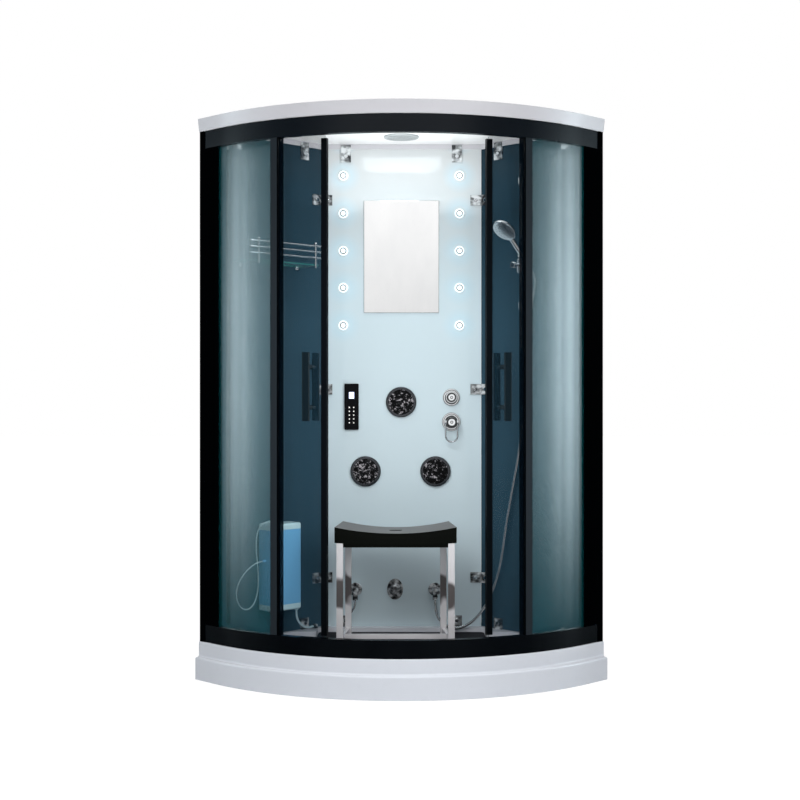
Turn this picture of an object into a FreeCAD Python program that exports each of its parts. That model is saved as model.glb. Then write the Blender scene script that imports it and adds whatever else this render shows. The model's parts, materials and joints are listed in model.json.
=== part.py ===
import FreeCAD, Part
import math
import os
from FreeCAD import Placement, Rotation, Vector

# A quadrant steam shower cabin for the corner of a room, in millimetres.  +Z is up, the room's
# corner is on +Y and the curved front with its two sliding doors is on -Y.  The origin is on the
# floor, under the middle of the cabin.

ROOT2 = math.sqrt(2.0)
UP = Vector(0, 0, 1)

# Overall plan and height
HEIGHT = 2150.0
BASE_SIDE = 1116.0            # room corner to the front of the tray's skirt, along either wall
RIM_SIDE = 1099.0             # the same, to the tray's upper tier
ROOF_SIDE = 1097.8            # the same, to the foot of the roof
ROOF_FLARE = 5.9              # how much further the roof's top edge reaches
STRAIGHT = 120.0              # straight stretch of the front, square to each wall
CORNER_Y = (BASE_SIDE - STRAIGHT + STRAIGHT * ROOT2) / 2
ARC_Y = CORNER_Y - STRAIGHT * ROOT2

# Heights
SKIRT_Z = 3.0
STEP_Z = 90.0
RIM_Z = 147.0
LEDGE_Z = 133.0
BASIN_Z = 84.0
BOARD_Z = 115.0
RAIL_HEIGHT = 66.0
ROOF_Z = 2101.0
CEILING_Z = 2131.0
GLASS_TOP_Z = 2109.7
GAP = 0.3                     # between pieces that only meet
RUN = 0.05                    # radial clearance of a turning or sliding fit

# Curved frame: radii about the arc's centre
RAIL_OUT = 972.0
RAIL_IN = 945.0
LIP_OUT = 917.5
LIP_IN = 914.5
FIXED_GLASS_R = (957.0, 962.0)
DOOR_GLASS_R = (904.0, 909.0)
LOW_RAIL_Z = RIM_Z + GAP
LOW_RAIL_TOP = LOW_RAIL_Z + RAIL_HEIGHT
HIGH_RAIL_TOP = ROOF_Z - GAP
HIGH_RAIL_Z = HIGH_RAIL_TOP - RAIL_HEIGHT
LOW_SHELF_Z = 176.0
HIGH_SHELF_Z = 2052.0
SHELF_THICK = 4.0
LIP_HEIGHT = 6.0
RAIL_WALL = 4.0
SLOT_DEPTH = 18.0

# Posts and mid posts
POST_WIDTH = 30.0
POST_OUT = 1096.0
POST_IN = 1050.0
STILE_END = 103.0
MID_POST_DEG = (28.0, 29.7)

# Doors: angles from the front, about the arc's centre
DOOR_SPAN = 30.0
LEFT_OPEN = 17.2
RIGHT_OPEN = 19.9
STILE_DEG = 1.4
SEAL_DEG = 0.6
HANDLE_DEG = 4.3
HANDLE_REACH = 43.0
HANDLE_Z = (997.0, 1248.0)
HANDLE_WIDTH = 29.0
HANDLE_THICK = 8.0
STANDOFF_Z = (1047.0, 1195.0)
DOOR_Z = (172.0, 2090.0)
ROLLER_DEG = (3.2, 23.5)
ROLLER_R = 12.0
ROLLER_TREAD_R = 9.0
ROLLER_WIDTH = 9.0
AXLE_R = 3.0

# Walls of the cabin
WALL_GLASS = (4.0, 10.0)      # distance of the side glass from the room's wall
WALL_GLASS_START = 478.6
PANEL_Y = 236.0
PANEL_THICK = 6.0
PANEL_HALF = 331.0
ROOF_SKIRT = 14.0

# Fittings on the centre panel: X, Z
JETS = ((-1.0, 1062.0), (-148.0, 775.0), (141.0, 775.0))
JET_R = 63.0
LIGHT_X = 241.0
LIGHT_Z = (1380.0, 1536.0, 1689.0, 1844.0, 2001.0)
LIGHT_R = 20.5
MIRROR_Z = (1432.0, 1898.0)
MIRROR_HALF = 156.0
CONTROL_X, CONTROL_Z = -206.0, 1043.0
CONTROL_SIZE = (59.0, 191.0, 15.0)
VALVE_X = 207.0
DIVERTER_Z = 1082.0
MIXER_Z = 980.0
OUTLET_Z = 287.0
OUTLET_X = (-190.0, 139.0)
STEAM_X = -26.0
OUTLET_REACH = 32.0
NUT_Z = 247.0
CLIP = 43.0
CLIP_THICK = 7.0
CLIP_WALL_START = 486.0
CORNER_CLIP_Z = (336.0, 1115.0, 1898.0)
EDGE_CLIP_X = (-230.0, 230.0)
EDGE_CLIP_ALONG = (575.0, 925.0)

# Hand shower on the right wall: distance along the wall from the corner, distance off the wall
BAR_ALONG, BAR_OFF = 739.0, 60.0
BAR_R = 9.0
BAR_Z = (1283.0, 2011.0)
BRACKET_Z = (1448.0, 1946.0)
SLIDER_Z = 1607.0
HAND_ALONG = 779.0            # the handset hangs beside the bar
HAND_NUT = 22.0
HAND_TILT = 42.0
HAND_REACH = 174.0
HAND_HEAD_R = 49.0
HANDLE_R = 13.0

# Steam generator on the left wall
GEN_ALONG = (664.0, 821.0)
GEN_OFF = (12.0, 102.0)
GEN_Z = (237.0, 582.0)
GEN_CAP = 24.0

# Shelf on the left wall
SHELF_ALONG = (586.0, 946.0)
SHELF_POSTS = (614.0, 907.0)
SHELF_OFF = 120.0
SHELF_PLATE_Z = 1612.0
SHELF_RAIL_Z = (1643.0, 1667.0, 1690.0)

# Stool
STOOL_X = -22.0
STOOL_FRONT_Y, STOOL_BACK_Y = -236.0, 24.0
STOOL_FRONT_HALF, STOOL_BACK_HALF = 233.0, 211.0
SEAT_Z = 588.0
SEAT_DIP = 24.0
SEAT_EDGE = 60.0
APRON = 18.0                  # how far the boards between the legs hang below the seat
SEAT_SLOT = (10.0, 16.0)      # half the straight run of the hand slot, radius of its ends
LEG = 25.0
FOOT_HEIGHT = 6.0

# Hoses and the cable: diameter and the points that each route turns at
SHOWER_HOSE_D = 12.0
SHOWER_HOSE = (
    (139, 204, 246.7), (140, 204, 208), (152, 202, 170), (182, 198, 141), (227, 192, 128),
    (276, 184, 148), (320, 172, 190), (356, 156, 247), (385, 138, 325), (407, 118, 415),
    (424.5, 102, 560), (449, 84, 712), (474, 64, 850), (490, 48, 1005), (495, 39, 1140),
    (505, 33, 1262), (516, 29, 1380), (527, 24.5, 1488))
HOSE_BEND = ((HAND_TILT, 28), (60, 28), (78, 32))    # back from the nut: rise in degrees, run
LEFT_HOSE_D = 10.0
LEFT_HOSE = (
    (-190, 204, 246.7), (-190.4, 204.2, 230.5), (-195, 205.6, 213), (-205.5, 209, 197),
    (-216, 212.4, 180.5), (-221.6, 214.2, 163.5), (-222, 214.3, 147.7))
GENERATOR_HOSE_D = 8.0
GENERATOR_HOSE = (
    (-422, 55, 229.7), (-421.5, 56, 204), (-415, 68, 180), (-402, 93, 160),
    (-388, 121, 147), (-374, 149, 143.4), (-362, 172, 143))
CABLE_D = 4.5
CABLE_ON_WALL = (
    (828, 86, 592), (843, 86, 592), (857, 83, 585), (866, 77, 569), (870, 68, 545),
    (867, 60, 500), (857, 54, 445), (846, 48, 390), (842, 44, 335), (850, 41, 288),
    (870, 40, 258), (898, 39, 248), (927, 41, 260), (948, 44, 288), (955, 46, 325),
    (943, 49, 366), (915, 53, 400), (882, 57, 424), (855, 60, 434), (836, 60.4, 436))


def box(x0, x1, y0, y1, z0, z1):
    return Part.makeBox(x1 - x0, y1 - y0, z1 - z0, Vector(x0, y0, z0))


def turned(radius, start, end):
    """A round bar between two points."""
    start, end = Vector(*start), Vector(*end)
    return Part.makeCylinder(radius, (end - start).Length, start, end - start)


def prism(face, low, high):
    solid = face.extrude(Vector(0, 0, high - low))
    solid.translate(Vector(0, 0, low))
    return solid


def polygon(points):
    corners = [Vector(x, y, 0) for x, y in points]
    return Part.Face(Part.makePolygon(corners + corners[:1]))


def softened(shape, radius, choose):
    """Round the edges that choose() picks by their middle point and direction."""
    picked = []
    for edge in shape.Edges:
        first, last = edge.Vertexes[0].Point, edge.Vertexes[-1].Point
        middle = edge.valueAt((edge.FirstParameter + edge.LastParameter) / 2)
        if choose(middle, last - first):
            picked.append(edge)
    return shape.makeFillet(radius, picked)


def upright(middle, along):
    return abs(along.z) > 1 and math.hypot(along.x, along.y) < 0.01


def joined(shapes):
    shapes = list(shapes)
    return shapes[0].multiFuse(shapes[1:]).removeSplitter() if len(shapes) > 1 else shapes[0]


def mirrored(shape):
    """The other hand of a left piece."""
    return shape.mirror(Vector(0, 0, 0), Vector(1, 0, 0))


def both_sides(shape):
    return Part.Compound([shape, mirrored(shape)])


def on_left_wall(shape):
    """Place a shape drawn with X along the wall from the corner and Y off the wall."""
    placed = shape.copy()
    placed.Placement = Placement(Vector(0, CORNER_Y, 0), Rotation(UP, -135)) * shape.Placement
    return placed


def on_right_wall(shape):
    return mirrored(on_left_wall(shape))


def on_panel(shape):
    """Place a shape drawn with X along the centre panel and Y off its face."""
    placed = shape.copy()
    placed.Placement = Placement(Vector(0, PANEL_Y, 0), Rotation(UP, 180)) * shape.Placement
    return placed


def arc(radius, start, end):
    """An arc about the front's centre between two angles from the corner's diagonal."""
    def at(angle):
        turn = math.radians(45 + angle)
        return Vector(STRAIGHT + radius * math.cos(turn), STRAIGHT + radius * math.sin(turn), 0)
    return Part.Arc(at(start), at((start + end) / 2), at(end)).toShape()


def quadrant(side, wall_gap=0.0):
    """The cabin's plan: two walls, two short straights and the front arc."""
    low, far = Vector(side, wall_gap, 0), Vector(wall_gap, side, 0)
    edges = [
        Part.makeLine(low, Vector(side, STRAIGHT, 0)),
        arc(side - STRAIGHT, -45, 45),
        Part.makeLine(Vector(STRAIGHT, side, 0), far),
        Part.makeLine(far, Vector(wall_gap, wall_gap, 0)),
        Part.makeLine(Vector(wall_gap, wall_gap, 0), low)]
    return on_left_wall(Part.Face(Part.Wire(edges)))


def band(radius_in, radius_out, start, low, high):
    """A curved strip of the front with its two straight ends."""
    inner, outer = radius_in + STRAIGHT, radius_out + STRAIGHT
    edges = [
        Part.makeLine(Vector(outer, start, 0), Vector(outer, STRAIGHT, 0)),
        arc(radius_out, -45, 45),
        Part.makeLine(Vector(STRAIGHT, outer, 0), Vector(start, outer, 0)),
        Part.makeLine(Vector(start, outer, 0), Vector(start, inner, 0)),
        Part.makeLine(Vector(start, inner, 0), Vector(STRAIGHT, inner, 0)),
        arc(radius_in, 45, -45),
        Part.makeLine(Vector(inner, STRAIGHT, 0), Vector(inner, start, 0)),
        Part.makeLine(Vector(inner, start, 0), Vector(outer, start, 0))]
    return prism(on_left_wall(Part.Face(Part.Wire(edges))), low, high)


def front_point(radius, degrees, height=0.0):
    """A point at an angle from the front, positive towards +X."""
    turn = math.radians(degrees)
    return Vector(radius * math.sin(turn), ARC_Y - radius * math.cos(turn), height)


def sector(radius_in, radius_out, start, end, low, high):
    """A curved block of the front between two angles."""
    middle = (start + end) / 2
    edges = [
        Part.Arc(*(front_point(radius_out, a) for a in (start, middle, end))).toShape(),
        Part.makeLine(front_point(radius_out, end), front_point(radius_in, end)),
        Part.Arc(*(front_point(radius_in, a) for a in (end, middle, start))).toShape(),
        Part.makeLine(front_point(radius_in, start), front_point(radius_out, start))]
    return prism(Part.Face(Part.Wire(edges)), low, high)


def spoke(radius, reach_in, reach_out, degrees, height):
    """A round bar that points at the arc's centre."""
    start = front_point(reach_in, degrees, height)
    end = front_point(reach_out, degrees, height)
    return Part.makeCylinder(radius, reach_out - reach_in, start, end - start)


def stud(radius, x, z, back, front):
    """A round bar square to the centre panel, by its Y at the back and at the front."""
    return Part.makeCylinder(radius, back - front, Vector(x, back, z), Vector(0, -1, 0))


def tube_along(name, diameter, points):
    """A hose: straight runs joined by tangent arcs, each as large as its two runs allow."""
    points = [Vector(*point) for point in points]
    edges, radii, start = [], [], points[0]
    for before, corner, after in zip(points, points[1:], points[2:]):
        back, ahead = before - corner, after - corner
        reach = 0.45 * min(back.Length, ahead.Length)
        back.normalize()
        ahead.normalize()
        half_turn = (math.pi - back.getAngle(ahead)) / 2
        radii.append(reach / math.tan(half_turn))
        first, last = corner + back * reach, corner + ahead * reach
        inward = (back + ahead).normalize()
        depth = radii[-1] / math.cos(half_turn) - radii[-1]
        edges.append(Part.makeLine(start, first))
        edges.append(Part.Arc(first, corner + inward * depth, last).toShape())
        start = last
    edges.append(Part.makeLine(start, points[-1]))
    path = Part.Wire(edges)
    ring = Part.Wire(Part.makeCircle(diameter / 2, points[0], points[1] - points[0]))
    solid = path.makePipeShell([ring], True, False)
    ideal = math.pi * diameter ** 2 / 4 * path.Length
    print(f"{name}: length {path.Length:.0f}, least radius {min(radii):.0f},"
          f" volume ratio {solid.Volume / ideal:.4f}")
    return solid


# ---- tray ---------------------------------------------------------------------------------

BAY_HALF = 345.0              # the basin's narrower bay between the two corner ledges
BAY_BACK_Y = 205.0
CORNER_LEDGE_Y = 100.0
BASIN_SIDE = 1022.0
SIDE_LEDGE = 30.0
TRAY_WALL = 8.0
DRAIN_X, DRAIN_Y, DRAIN_R = 120.0, -330.0, 30.0
CUP_Z, CUP_HEIGHT = 34.0, 36.0
OUTLET_R, OUTLET_END_Z = 20.0, 4.0
WASTE_WALL = 3.0


def basin_block(grow, low, high):
    """The basin's room, grown by a wall's thickness where that is asked."""
    side = BASIN_SIDE + grow
    tangent_y = CORNER_Y - (side + STRAIGHT) / ROOT2
    front = prism(quadrant(side, SIDE_LEDGE - grow), low, high)
    front = front.common(box(-800, 800, -600, CORNER_LEDGE_Y + grow, low, high))
    bay = box(-BAY_HALF - grow, BAY_HALF + grow, -200, BAY_BACK_Y + grow, low, high)
    room = front.fuse(bay).removeSplitter()
    return softened(room, 20.0, lambda m, a: upright(m, a) and abs(m.y - tangent_y) > 2)


def tray():
    """A moulded shell: flared skirt, upper tier, ledge for the glass and a basin."""
    shell = prism(quadrant(BASE_SIDE), SKIRT_Z, STEP_Z).fuse(
        prism(quadrant(RIM_SIDE), STEP_Z, RIM_Z)).removeSplitter()

    def on_front(middle):
        return abs(middle.x) < BASE_SIDE / ROOT2 + 1 and middle.y < CORNER_Y - BASE_SIDE / ROOT2 + 90

    shell = softened(shell, 8.0, lambda m, a: abs(m.z - STEP_Z) < 0.1 and on_front(m)
                     and abs(a.z) < 0.1)
    shell = softened(shell, 4.0, lambda m, a: abs(m.z - RIM_Z) < 0.1 and on_front(m)
                     and abs(a.z) < 0.1)
    ledge = prism(quadrant(BASIN_SIDE + 6, 3.5), LEDGE_Z, RIM_Z + 1)
    shell = shell.cut(ledge).cut(basin_block(0, BASIN_Z, RIM_Z + 1))
    seat = box(POST_IN - 50, POST_IN + GAP, 3.5, 16, LEDGE_Z, RIM_Z + 1)
    shell = shell.cut(on_left_wall(seat)).cut(on_right_wall(seat))
    shell = shell.cut(prism(quadrant(BASE_SIDE - TRAY_WALL, TRAY_WALL), 0, BASIN_Z - 12))
    hollow = prism(quadrant(RIM_SIDE - TRAY_WALL, TRAY_WALL), BASIN_Z - 13, LEDGE_Z - TRAY_WALL)
    shell = shell.cut(hollow.cut(basin_block(TRAY_WALL, BASIN_Z - 14, LEDGE_Z)))
    drain_hole = Part.makeCylinder(DRAIN_R + GAP, 40, Vector(DRAIN_X, DRAIN_Y, BASIN_Z - 30))
    return shell.cut(drain_hole)


def drain():
    """A waste: flange in the basin, trap cup below it and an outlet that points straight down."""
    at = Vector(DRAIN_X, DRAIN_Y, 0)
    flange = Part.makeCylinder(55, 3, at + Vector(0, 0, BASIN_Z + GAP))
    neck = Part.makeCylinder(DRAIN_R, BASIN_Z - CUP_Z, at + Vector(0, 0, CUP_Z + 2))
    cup = Part.makeCylinder(42, CUP_HEIGHT, at + Vector(0, 0, CUP_Z))
    outlet = Part.makeCylinder(OUTLET_R, CUP_Z - OUTLET_END_Z, at + Vector(0, 0, OUTLET_END_Z))
    floor_z = CUP_Z + WASTE_WALL
    room = joined([
        Part.makeCylinder(42 - WASTE_WALL, CUP_HEIGHT - 2 * WASTE_WALL, at + Vector(0, 0, floor_z)),
        Part.makeCylinder(DRAIN_R - WASTE_WALL, BASIN_Z - 2 - floor_z, at + Vector(0, 0, floor_z)),
        Part.makeCylinder(OUTLET_R - WASTE_WALL, CUP_Z + 5, at)])
    solid = joined([flange, neck, cup, outlet]).cut(room)
    slots = [box(DRAIN_X - 24, DRAIN_X + 24, DRAIN_Y + k * 9 - 2, DRAIN_Y + k * 9 + 2,
                 BASIN_Z - 20, BASIN_Z + 10) for k in (-2, -1, 0, 1, 2)]
    return solid.cut(Part.Compound(slots))


BEAM = 30.0
BEAM_Z = (38.0, 68.0)
SPINE_Y = (-520.0, 500.0)
CROSS_BEAMS = ((-250.0, 640.0), (60.0, 420.0))
FEET = ((0, -500), (0, -95), (0, 470), (-620, -250), (620, -250), (-390, 60), (390, 60))


def tray_frame():
    """A welded frame of square tube under the tray."""
    spine = box(-BEAM / 2, BEAM / 2, *SPINE_Y, *BEAM_Z)
    cross = [box(-half, half, y - BEAM / 2, y + BEAM / 2, *BEAM_Z) for y, half in CROSS_BEAMS]
    return joined([spine] + cross)


def levelling_feet():
    """Seven screw feet: pad, stud and lock nut."""
    feet = []
    for x, y in FEET:
        pad = Part.makeCylinder(25, 8, Vector(x, y, 0))
        stem = Part.makeCylinder(6, BEAM_Z[0] - GAP - 8, Vector(x, y, 8))
        nut = Part.makeCylinder(11, 8, Vector(x, y, 24))
        feet.append(joined([softened(pad, 3, lambda m, a: m.z > 7), stem, nut]))
    return Part.Compound(feet)


BOARD_HALF = 340.0
BOARD_BACK_Y = 200.0
BOARD_FRONT_R = 884.0
SLAT = 14.0
SLAT_PITCH = 20.0
SLAT_THICK = 9.0
BATTENS = (-270.0, 0.0, 270.0)


def floor_board():
    """A slatted floor grid: slats across, on three battens."""
    count = int((BOARD_BACK_Y - front_point(BOARD_FRONT_R, 0).y) / SLAT_PITCH)
    slats = []
    for row in range(count):
        back = BOARD_BACK_Y - row * SLAT_PITCH
        slats.append(box(-BOARD_HALF, BOARD_HALF, back - SLAT, back, BOARD_Z - SLAT_THICK, BOARD_Z))
    for x in BATTENS:
        slats.append(box(x - 12, x + 12, -480, BOARD_BACK_Y, BASIN_Z + 4, BOARD_Z - SLAT_THICK + 2))
    outline = box(-BOARD_HALF, BOARD_HALF, -700, BOARD_BACK_Y, BASIN_Z, BOARD_Z + 1)
    outline = softened(outline, 20.0, lambda m, a: upright(m, a) and m.y > 0)
    front = Part.makeCylinder(BOARD_FRONT_R, 60, Vector(0, ARC_Y, BASIN_Z))
    return joined(slats).common(outline.common(front))


# ---- curved frame -------------------------------------------------------------------------

def rail(low, shelf, slot_at_top):
    """A curved profile: hollow box, glass slot, and a shelf with the lip the doors run on."""
    high = low + RAIL_HEIGHT
    start = POST_WIDTH + GAP
    body = band(RAIL_IN, RAIL_OUT, start, low, high)
    cavity = band(RAIL_IN + RAIL_WALL, RAIL_OUT - RAIL_WALL, start - 1,
                  low + RAIL_WALL, high - RAIL_WALL)
    glass_in, glass_out = FIXED_GLASS_R
    slot_low = high - SLOT_DEPTH if slot_at_top else low - 1
    slot = band(glass_in - GAP, glass_out + GAP, start - 1, slot_low, slot_low + SLOT_DEPTH + 1)
    track = band(LIP_IN, RAIL_IN + 1, start, shelf, shelf + SHELF_THICK)
    lip = band(LIP_IN, LIP_OUT, start, shelf + 1, shelf + SHELF_THICK + LIP_HEIGHT)
    return joined([body.cut(cavity).cut(slot), track, lip])


def bottom_rail():
    return rail(LOW_RAIL_Z, LOW_SHELF_Z, True)


def top_rail():
    return rail(HIGH_RAIL_Z, HIGH_SHELF_Z, False)


def left_post():
    """The wall profile at the end of the front, with the stile that holds the fixed glass."""
    strip = box(POST_IN, POST_OUT, 0.5, POST_WIDTH, LOW_RAIL_Z, HIGH_RAIL_TOP)
    stile = box(1066, 1092, POST_WIDTH - 1, STILE_END, LOW_RAIL_TOP + GAP, HIGH_RAIL_Z - GAP)
    glass_in, glass_out = (radius + STRAIGHT for radius in FIXED_GLASS_R)
    slot = box(glass_in - GAP, glass_out + GAP, STILE_END - 12, STILE_END + 1,
               LOW_RAIL_TOP, HIGH_RAIL_Z)
    return on_left_wall(softened(strip, 2.0, upright).fuse(stile).removeSplitter().cut(slot))


def left_mid_post():
    """The profile that caps the free edge of the fixed glass."""
    start, end = MID_POST_DEG
    low, high = LOW_RAIL_TOP + GAP, HIGH_RAIL_Z - GAP
    post = sector(948, 971, -end, -start, low, high)
    glass_in, glass_out = FIXED_GLASS_R
    slot = sector(glass_in - GAP, glass_out + GAP, -end - 0.1, -end + 0.75, low - 1, high + 1)
    return post.cut(slot)


def left_fixed_glass():
    """Curved glass from the mid post to the wall post, in the slots of both rails."""
    glass_in, glass_out = FIXED_GLASS_R
    low, high = LOW_RAIL_TOP - SLOT_DEPTH + 2, HIGH_RAIL_Z + SLOT_DEPTH - 2
    whole = band(glass_in, glass_out, STILE_END - 10, low, high)
    edge = -MID_POST_DEG[1] + 0.7
    keep = polygon([(0, ARC_Y), tuple(front_point(1200, edge))[:2], (-1200, -900), (-1200, ARC_Y)])
    return whole.common(prism(keep, low - 1, high + 1))


# ---- doors, drawn with the leading edge at the front --------------------------------------

def turned_door(shape, degrees):
    placed = shape.copy()
    placed.rotate(Vector(0, ARC_Y, 0), UP, degrees)
    return placed


def hanger_points():
    """Angle and height of the top rollers, and of the guide shoes below."""
    top = HIGH_SHELF_Z + SHELF_THICK + LIP_HEIGHT + ROLLER_TREAD_R + GAP
    return [(-degrees, top) for degrees in ROLLER_DEG]


def door_glass():
    glass = sector(*DOOR_GLASS_R, -DOOR_SPAN + 0.1, -0.1 - STILE_DEG * 0.4, *DOOR_Z)
    for degrees, height in hanger_points():
        glass = glass.cut(spoke(5 + GAP, 895, 915, degrees, height))
    middle = -HANDLE_DEG
    for height in STANDOFF_Z:
        glass = glass.cut(spoke(5 + GAP, 895, 915, middle, height))
    return glass


def door_strips():
    """The metal stile on the leading edge and the soft seal on the trailing edge."""
    inner, outer = DOOR_GLASS_R
    low, high = DOOR_Z[0] + 42, DOOR_Z[1] - 60
    stile = sector(inner - 6, outer + 6, -STILE_DEG - 0.1, -0.1, low, high)
    slot = sector(inner - GAP, outer + GAP, -STILE_DEG - 0.2, -0.1 - STILE_DEG * 0.35, low - 1, high + 1)
    seal = sector(inner - 3, outer + 3, -DOOR_SPAN - 0.1, -DOOR_SPAN + SEAL_DEG, low, high)
    groove = sector(inner - GAP, outer + GAP, -DOOR_SPAN + 0.05, -DOOR_SPAN + SEAL_DEG + 0.1,
                    low - 1, high + 1)
    return Part.Compound([stile.cut(slot), seal.cut(groove)])


def door_handle():
    """Two flat grips, outside and inside, on stand-offs that clamp through the glass."""
    middle = -HANDLE_DEG
    centre = sum(DOOR_GLASS_R) / 2
    pieces = []
    for reach in (-HANDLE_REACH, HANDLE_REACH):
        half = math.degrees(HANDLE_WIDTH / 2 / (centre + reach))
        grip = sector(centre + reach - HANDLE_THICK / 2, centre + reach + HANDLE_THICK / 2,
                      middle - half, middle + half, *HANDLE_Z)
        pieces.append(softened(grip, 2.0, upright))
    for height in STANDOFF_Z:
        pieces.append(spoke(5, centre - HANDLE_REACH, centre + HANDLE_REACH, middle, height))
        pieces.append(spoke(9, DOOR_GLASS_R[1] + GAP, centre + HANDLE_REACH, middle, height))
        pieces.append(spoke(9, centre - HANDLE_REACH, DOOR_GLASS_R[0] - GAP, middle, height))
    return joined(pieces)


def door_hangers():
    """Roller axles with their caps at the top, and guide shoes on the lower lip."""
    inner, outer = DOOR_GLASS_R
    pieces = []
    for degrees, height in hanger_points():
        axle = spoke(AXLE_R, inner - 8, outer + 15, degrees, height)
        sleeve = spoke(5, inner - 2, outer + 1.5, degrees, height)
        cap = spoke(13, inner - 9, inner - GAP, degrees, height)
        collar = spoke(8, outer + GAP, outer + 2, degrees, height)
        end = spoke(5, outer + 12.5, outer + 15, degrees, height)
        pieces.append(joined([axle, sleeve, cap, collar, end]))
        half = 1.0
        low = LOW_SHELF_Z + SHELF_THICK + 1
        shoe = sector(outer + GAP, outer + 13, degrees - half, degrees + half, low, low + 22)
        lip_room = sector(LIP_IN - 0.4, LIP_OUT + 0.4, degrees - half - 0.1, degrees + half + 0.1,
                          low - 1, LOW_SHELF_Z + SHELF_THICK + LIP_HEIGHT + 0.5)
        pieces.append(shoe.cut(lip_room))
    return Part.Compound(pieces)


def door_roller(degrees, height):
    """A grooved wheel on its axle."""
    centre = (LIP_IN + LIP_OUT) / 2
    wheel = spoke(ROLLER_R, centre - ROLLER_WIDTH / 2, centre + ROLLER_WIDTH / 2, degrees, height)
    half = (LIP_OUT - LIP_IN) / 2 + 0.4
    groove = spoke(ROLLER_R + 1, centre - half, centre + half, degrees, height).cut(
        spoke(ROLLER_TREAD_R, centre - half - 1, centre + half + 1, degrees, height))
    bore = spoke(AXLE_R + RUN, centre - ROLLER_WIDTH, centre + ROLLER_WIDTH, degrees, height)
    return wheel.cut(groove).cut(bore)


# ---- roof ---------------------------------------------------------------------------------

def roof():
    """A shallow moulded cover with a recessed ceiling."""
    low = quadrant(ROOF_SIDE).OuterWire
    high = quadrant(ROOF_SIDE + ROOF_FLARE).OuterWire
    low.translate(Vector(0, 0, ROOF_Z))
    high.translate(Vector(0, 0, HEIGHT))
    cover = Part.makeLoft([low, high], True, True)
    room = ROOF_SIDE - 37
    cover = cover.cut(prism(quadrant(room, -1), ROOF_Z - 1, GLASS_TOP_Z + GAP))
    recess = prism(quadrant(room, ROOF_SKIRT), ROOF_Z - 1, CEILING_Z)
    front = recess.common(box(-800, 800, -700, PANEL_Y - 4, ROOF_Z - 2, CEILING_Z + 1))
    back = recess.common(box(-800, 800, PANEL_Y + 14, 700, ROOF_Z - 2, CEILING_Z + 1))
    return cover.cut(front).cut(back)


LAMP_BACK_Y = -100.0
LAMP_HALF = 172.0
LAMP_SIDE_Y = -340.0
RAIN_Y = -400.0
RAIN_R = 90.0
SPEAKER_Y, SPEAKER_R = 60.0, 70.0


def ceiling_lamp():
    """A translucent lens, straight at the back and round at the front."""
    left, right = Vector(-LAMP_HALF, LAMP_SIDE_Y, 0), Vector(LAMP_HALF, LAMP_SIDE_Y, 0)
    edges = [
        Part.Arc(left, Vector(0, LAMP_SIDE_Y - LAMP_HALF, 0), right).toShape(),
        Part.makeLine(right, Vector(LAMP_HALF, LAMP_BACK_Y, 0)),
        Part.makeLine(Vector(LAMP_HALF, LAMP_BACK_Y, 0), Vector(-LAMP_HALF, LAMP_BACK_Y, 0)),
        Part.makeLine(Vector(-LAMP_HALF, LAMP_BACK_Y, 0), left)]
    lens = prism(Part.Face(Part.Wire(edges)), CEILING_Z - 8, CEILING_Z - GAP)
    lens = softened(lens, 4.0, lambda m, a: m.z < CEILING_Z - 7)
    return lens.cut(Part.makeCylinder(13, 20, Vector(0, RAIN_Y, CEILING_Z - 15)))


def rain_shower():
    """A round overhead rose on a short neck through the lens."""
    head = Part.makeCylinder(RAIN_R, 10, Vector(0, RAIN_Y, CEILING_Z - 32))
    head = softened(head, 3.0, lambda m, a: True)
    boss = Part.makeCylinder(24, 8, Vector(0, RAIN_Y, CEILING_Z - 24))
    neck = Part.makeCylinder(12, 20, Vector(0, RAIN_Y, CEILING_Z - GAP - 20))
    nozzles = []
    for ring, count in enumerate((8, 14, 20)):
        for k in range(count):
            turn = 2 * math.pi * k / count
            reach = 28 + 24 * ring
            nozzles.append(Part.makeCylinder(2.5, 3, Vector(
                reach * math.cos(turn), RAIN_Y + reach * math.sin(turn), CEILING_Z - 34)))
    return joined([head, boss, neck] + nozzles)


def ceiling_speaker():
    """A round grille in the ceiling, with rings of slots."""
    disc = Part.makeCylinder(SPEAKER_R, 6, Vector(0, SPEAKER_Y, CEILING_Z - GAP - 6))
    disc = softened(disc, 2.0, lambda m, a: m.z < CEILING_Z - 6)
    for ring in range(5):
        outer, inner = 58 - 11 * ring, 53 - 11 * ring
        base = Vector(0, SPEAKER_Y, CEILING_Z - GAP - 7)
        disc = disc.cut(Part.makeCylinder(outer, 3, base).cut(Part.makeCylinder(inner, 3, base)))
    return disc


# ---- walls --------------------------------------------------------------------------------

def clip_screw_points():
    """Where the clips are screwed: on the panel (X, Z) and on the left wall (along, Z)."""
    low, high = LEDGE_Z + 24, GLASS_TOP_Z - 30
    corner_x = PANEL_HALF - 2 - CLIP / 2
    panel = [(x, z) for x in (-corner_x, corner_x) for z in CORNER_CLIP_Z]
    panel += [(x, z) for x in EDGE_CLIP_X for z in (low, high)]
    wall = [(CLIP_WALL_START + CLIP / 2, z) for z in CORNER_CLIP_Z]
    wall += [(along, z) for along in EDGE_CLIP_ALONG for z in (low, high)]
    return panel, wall


SCREW_R = 3.0


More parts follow.
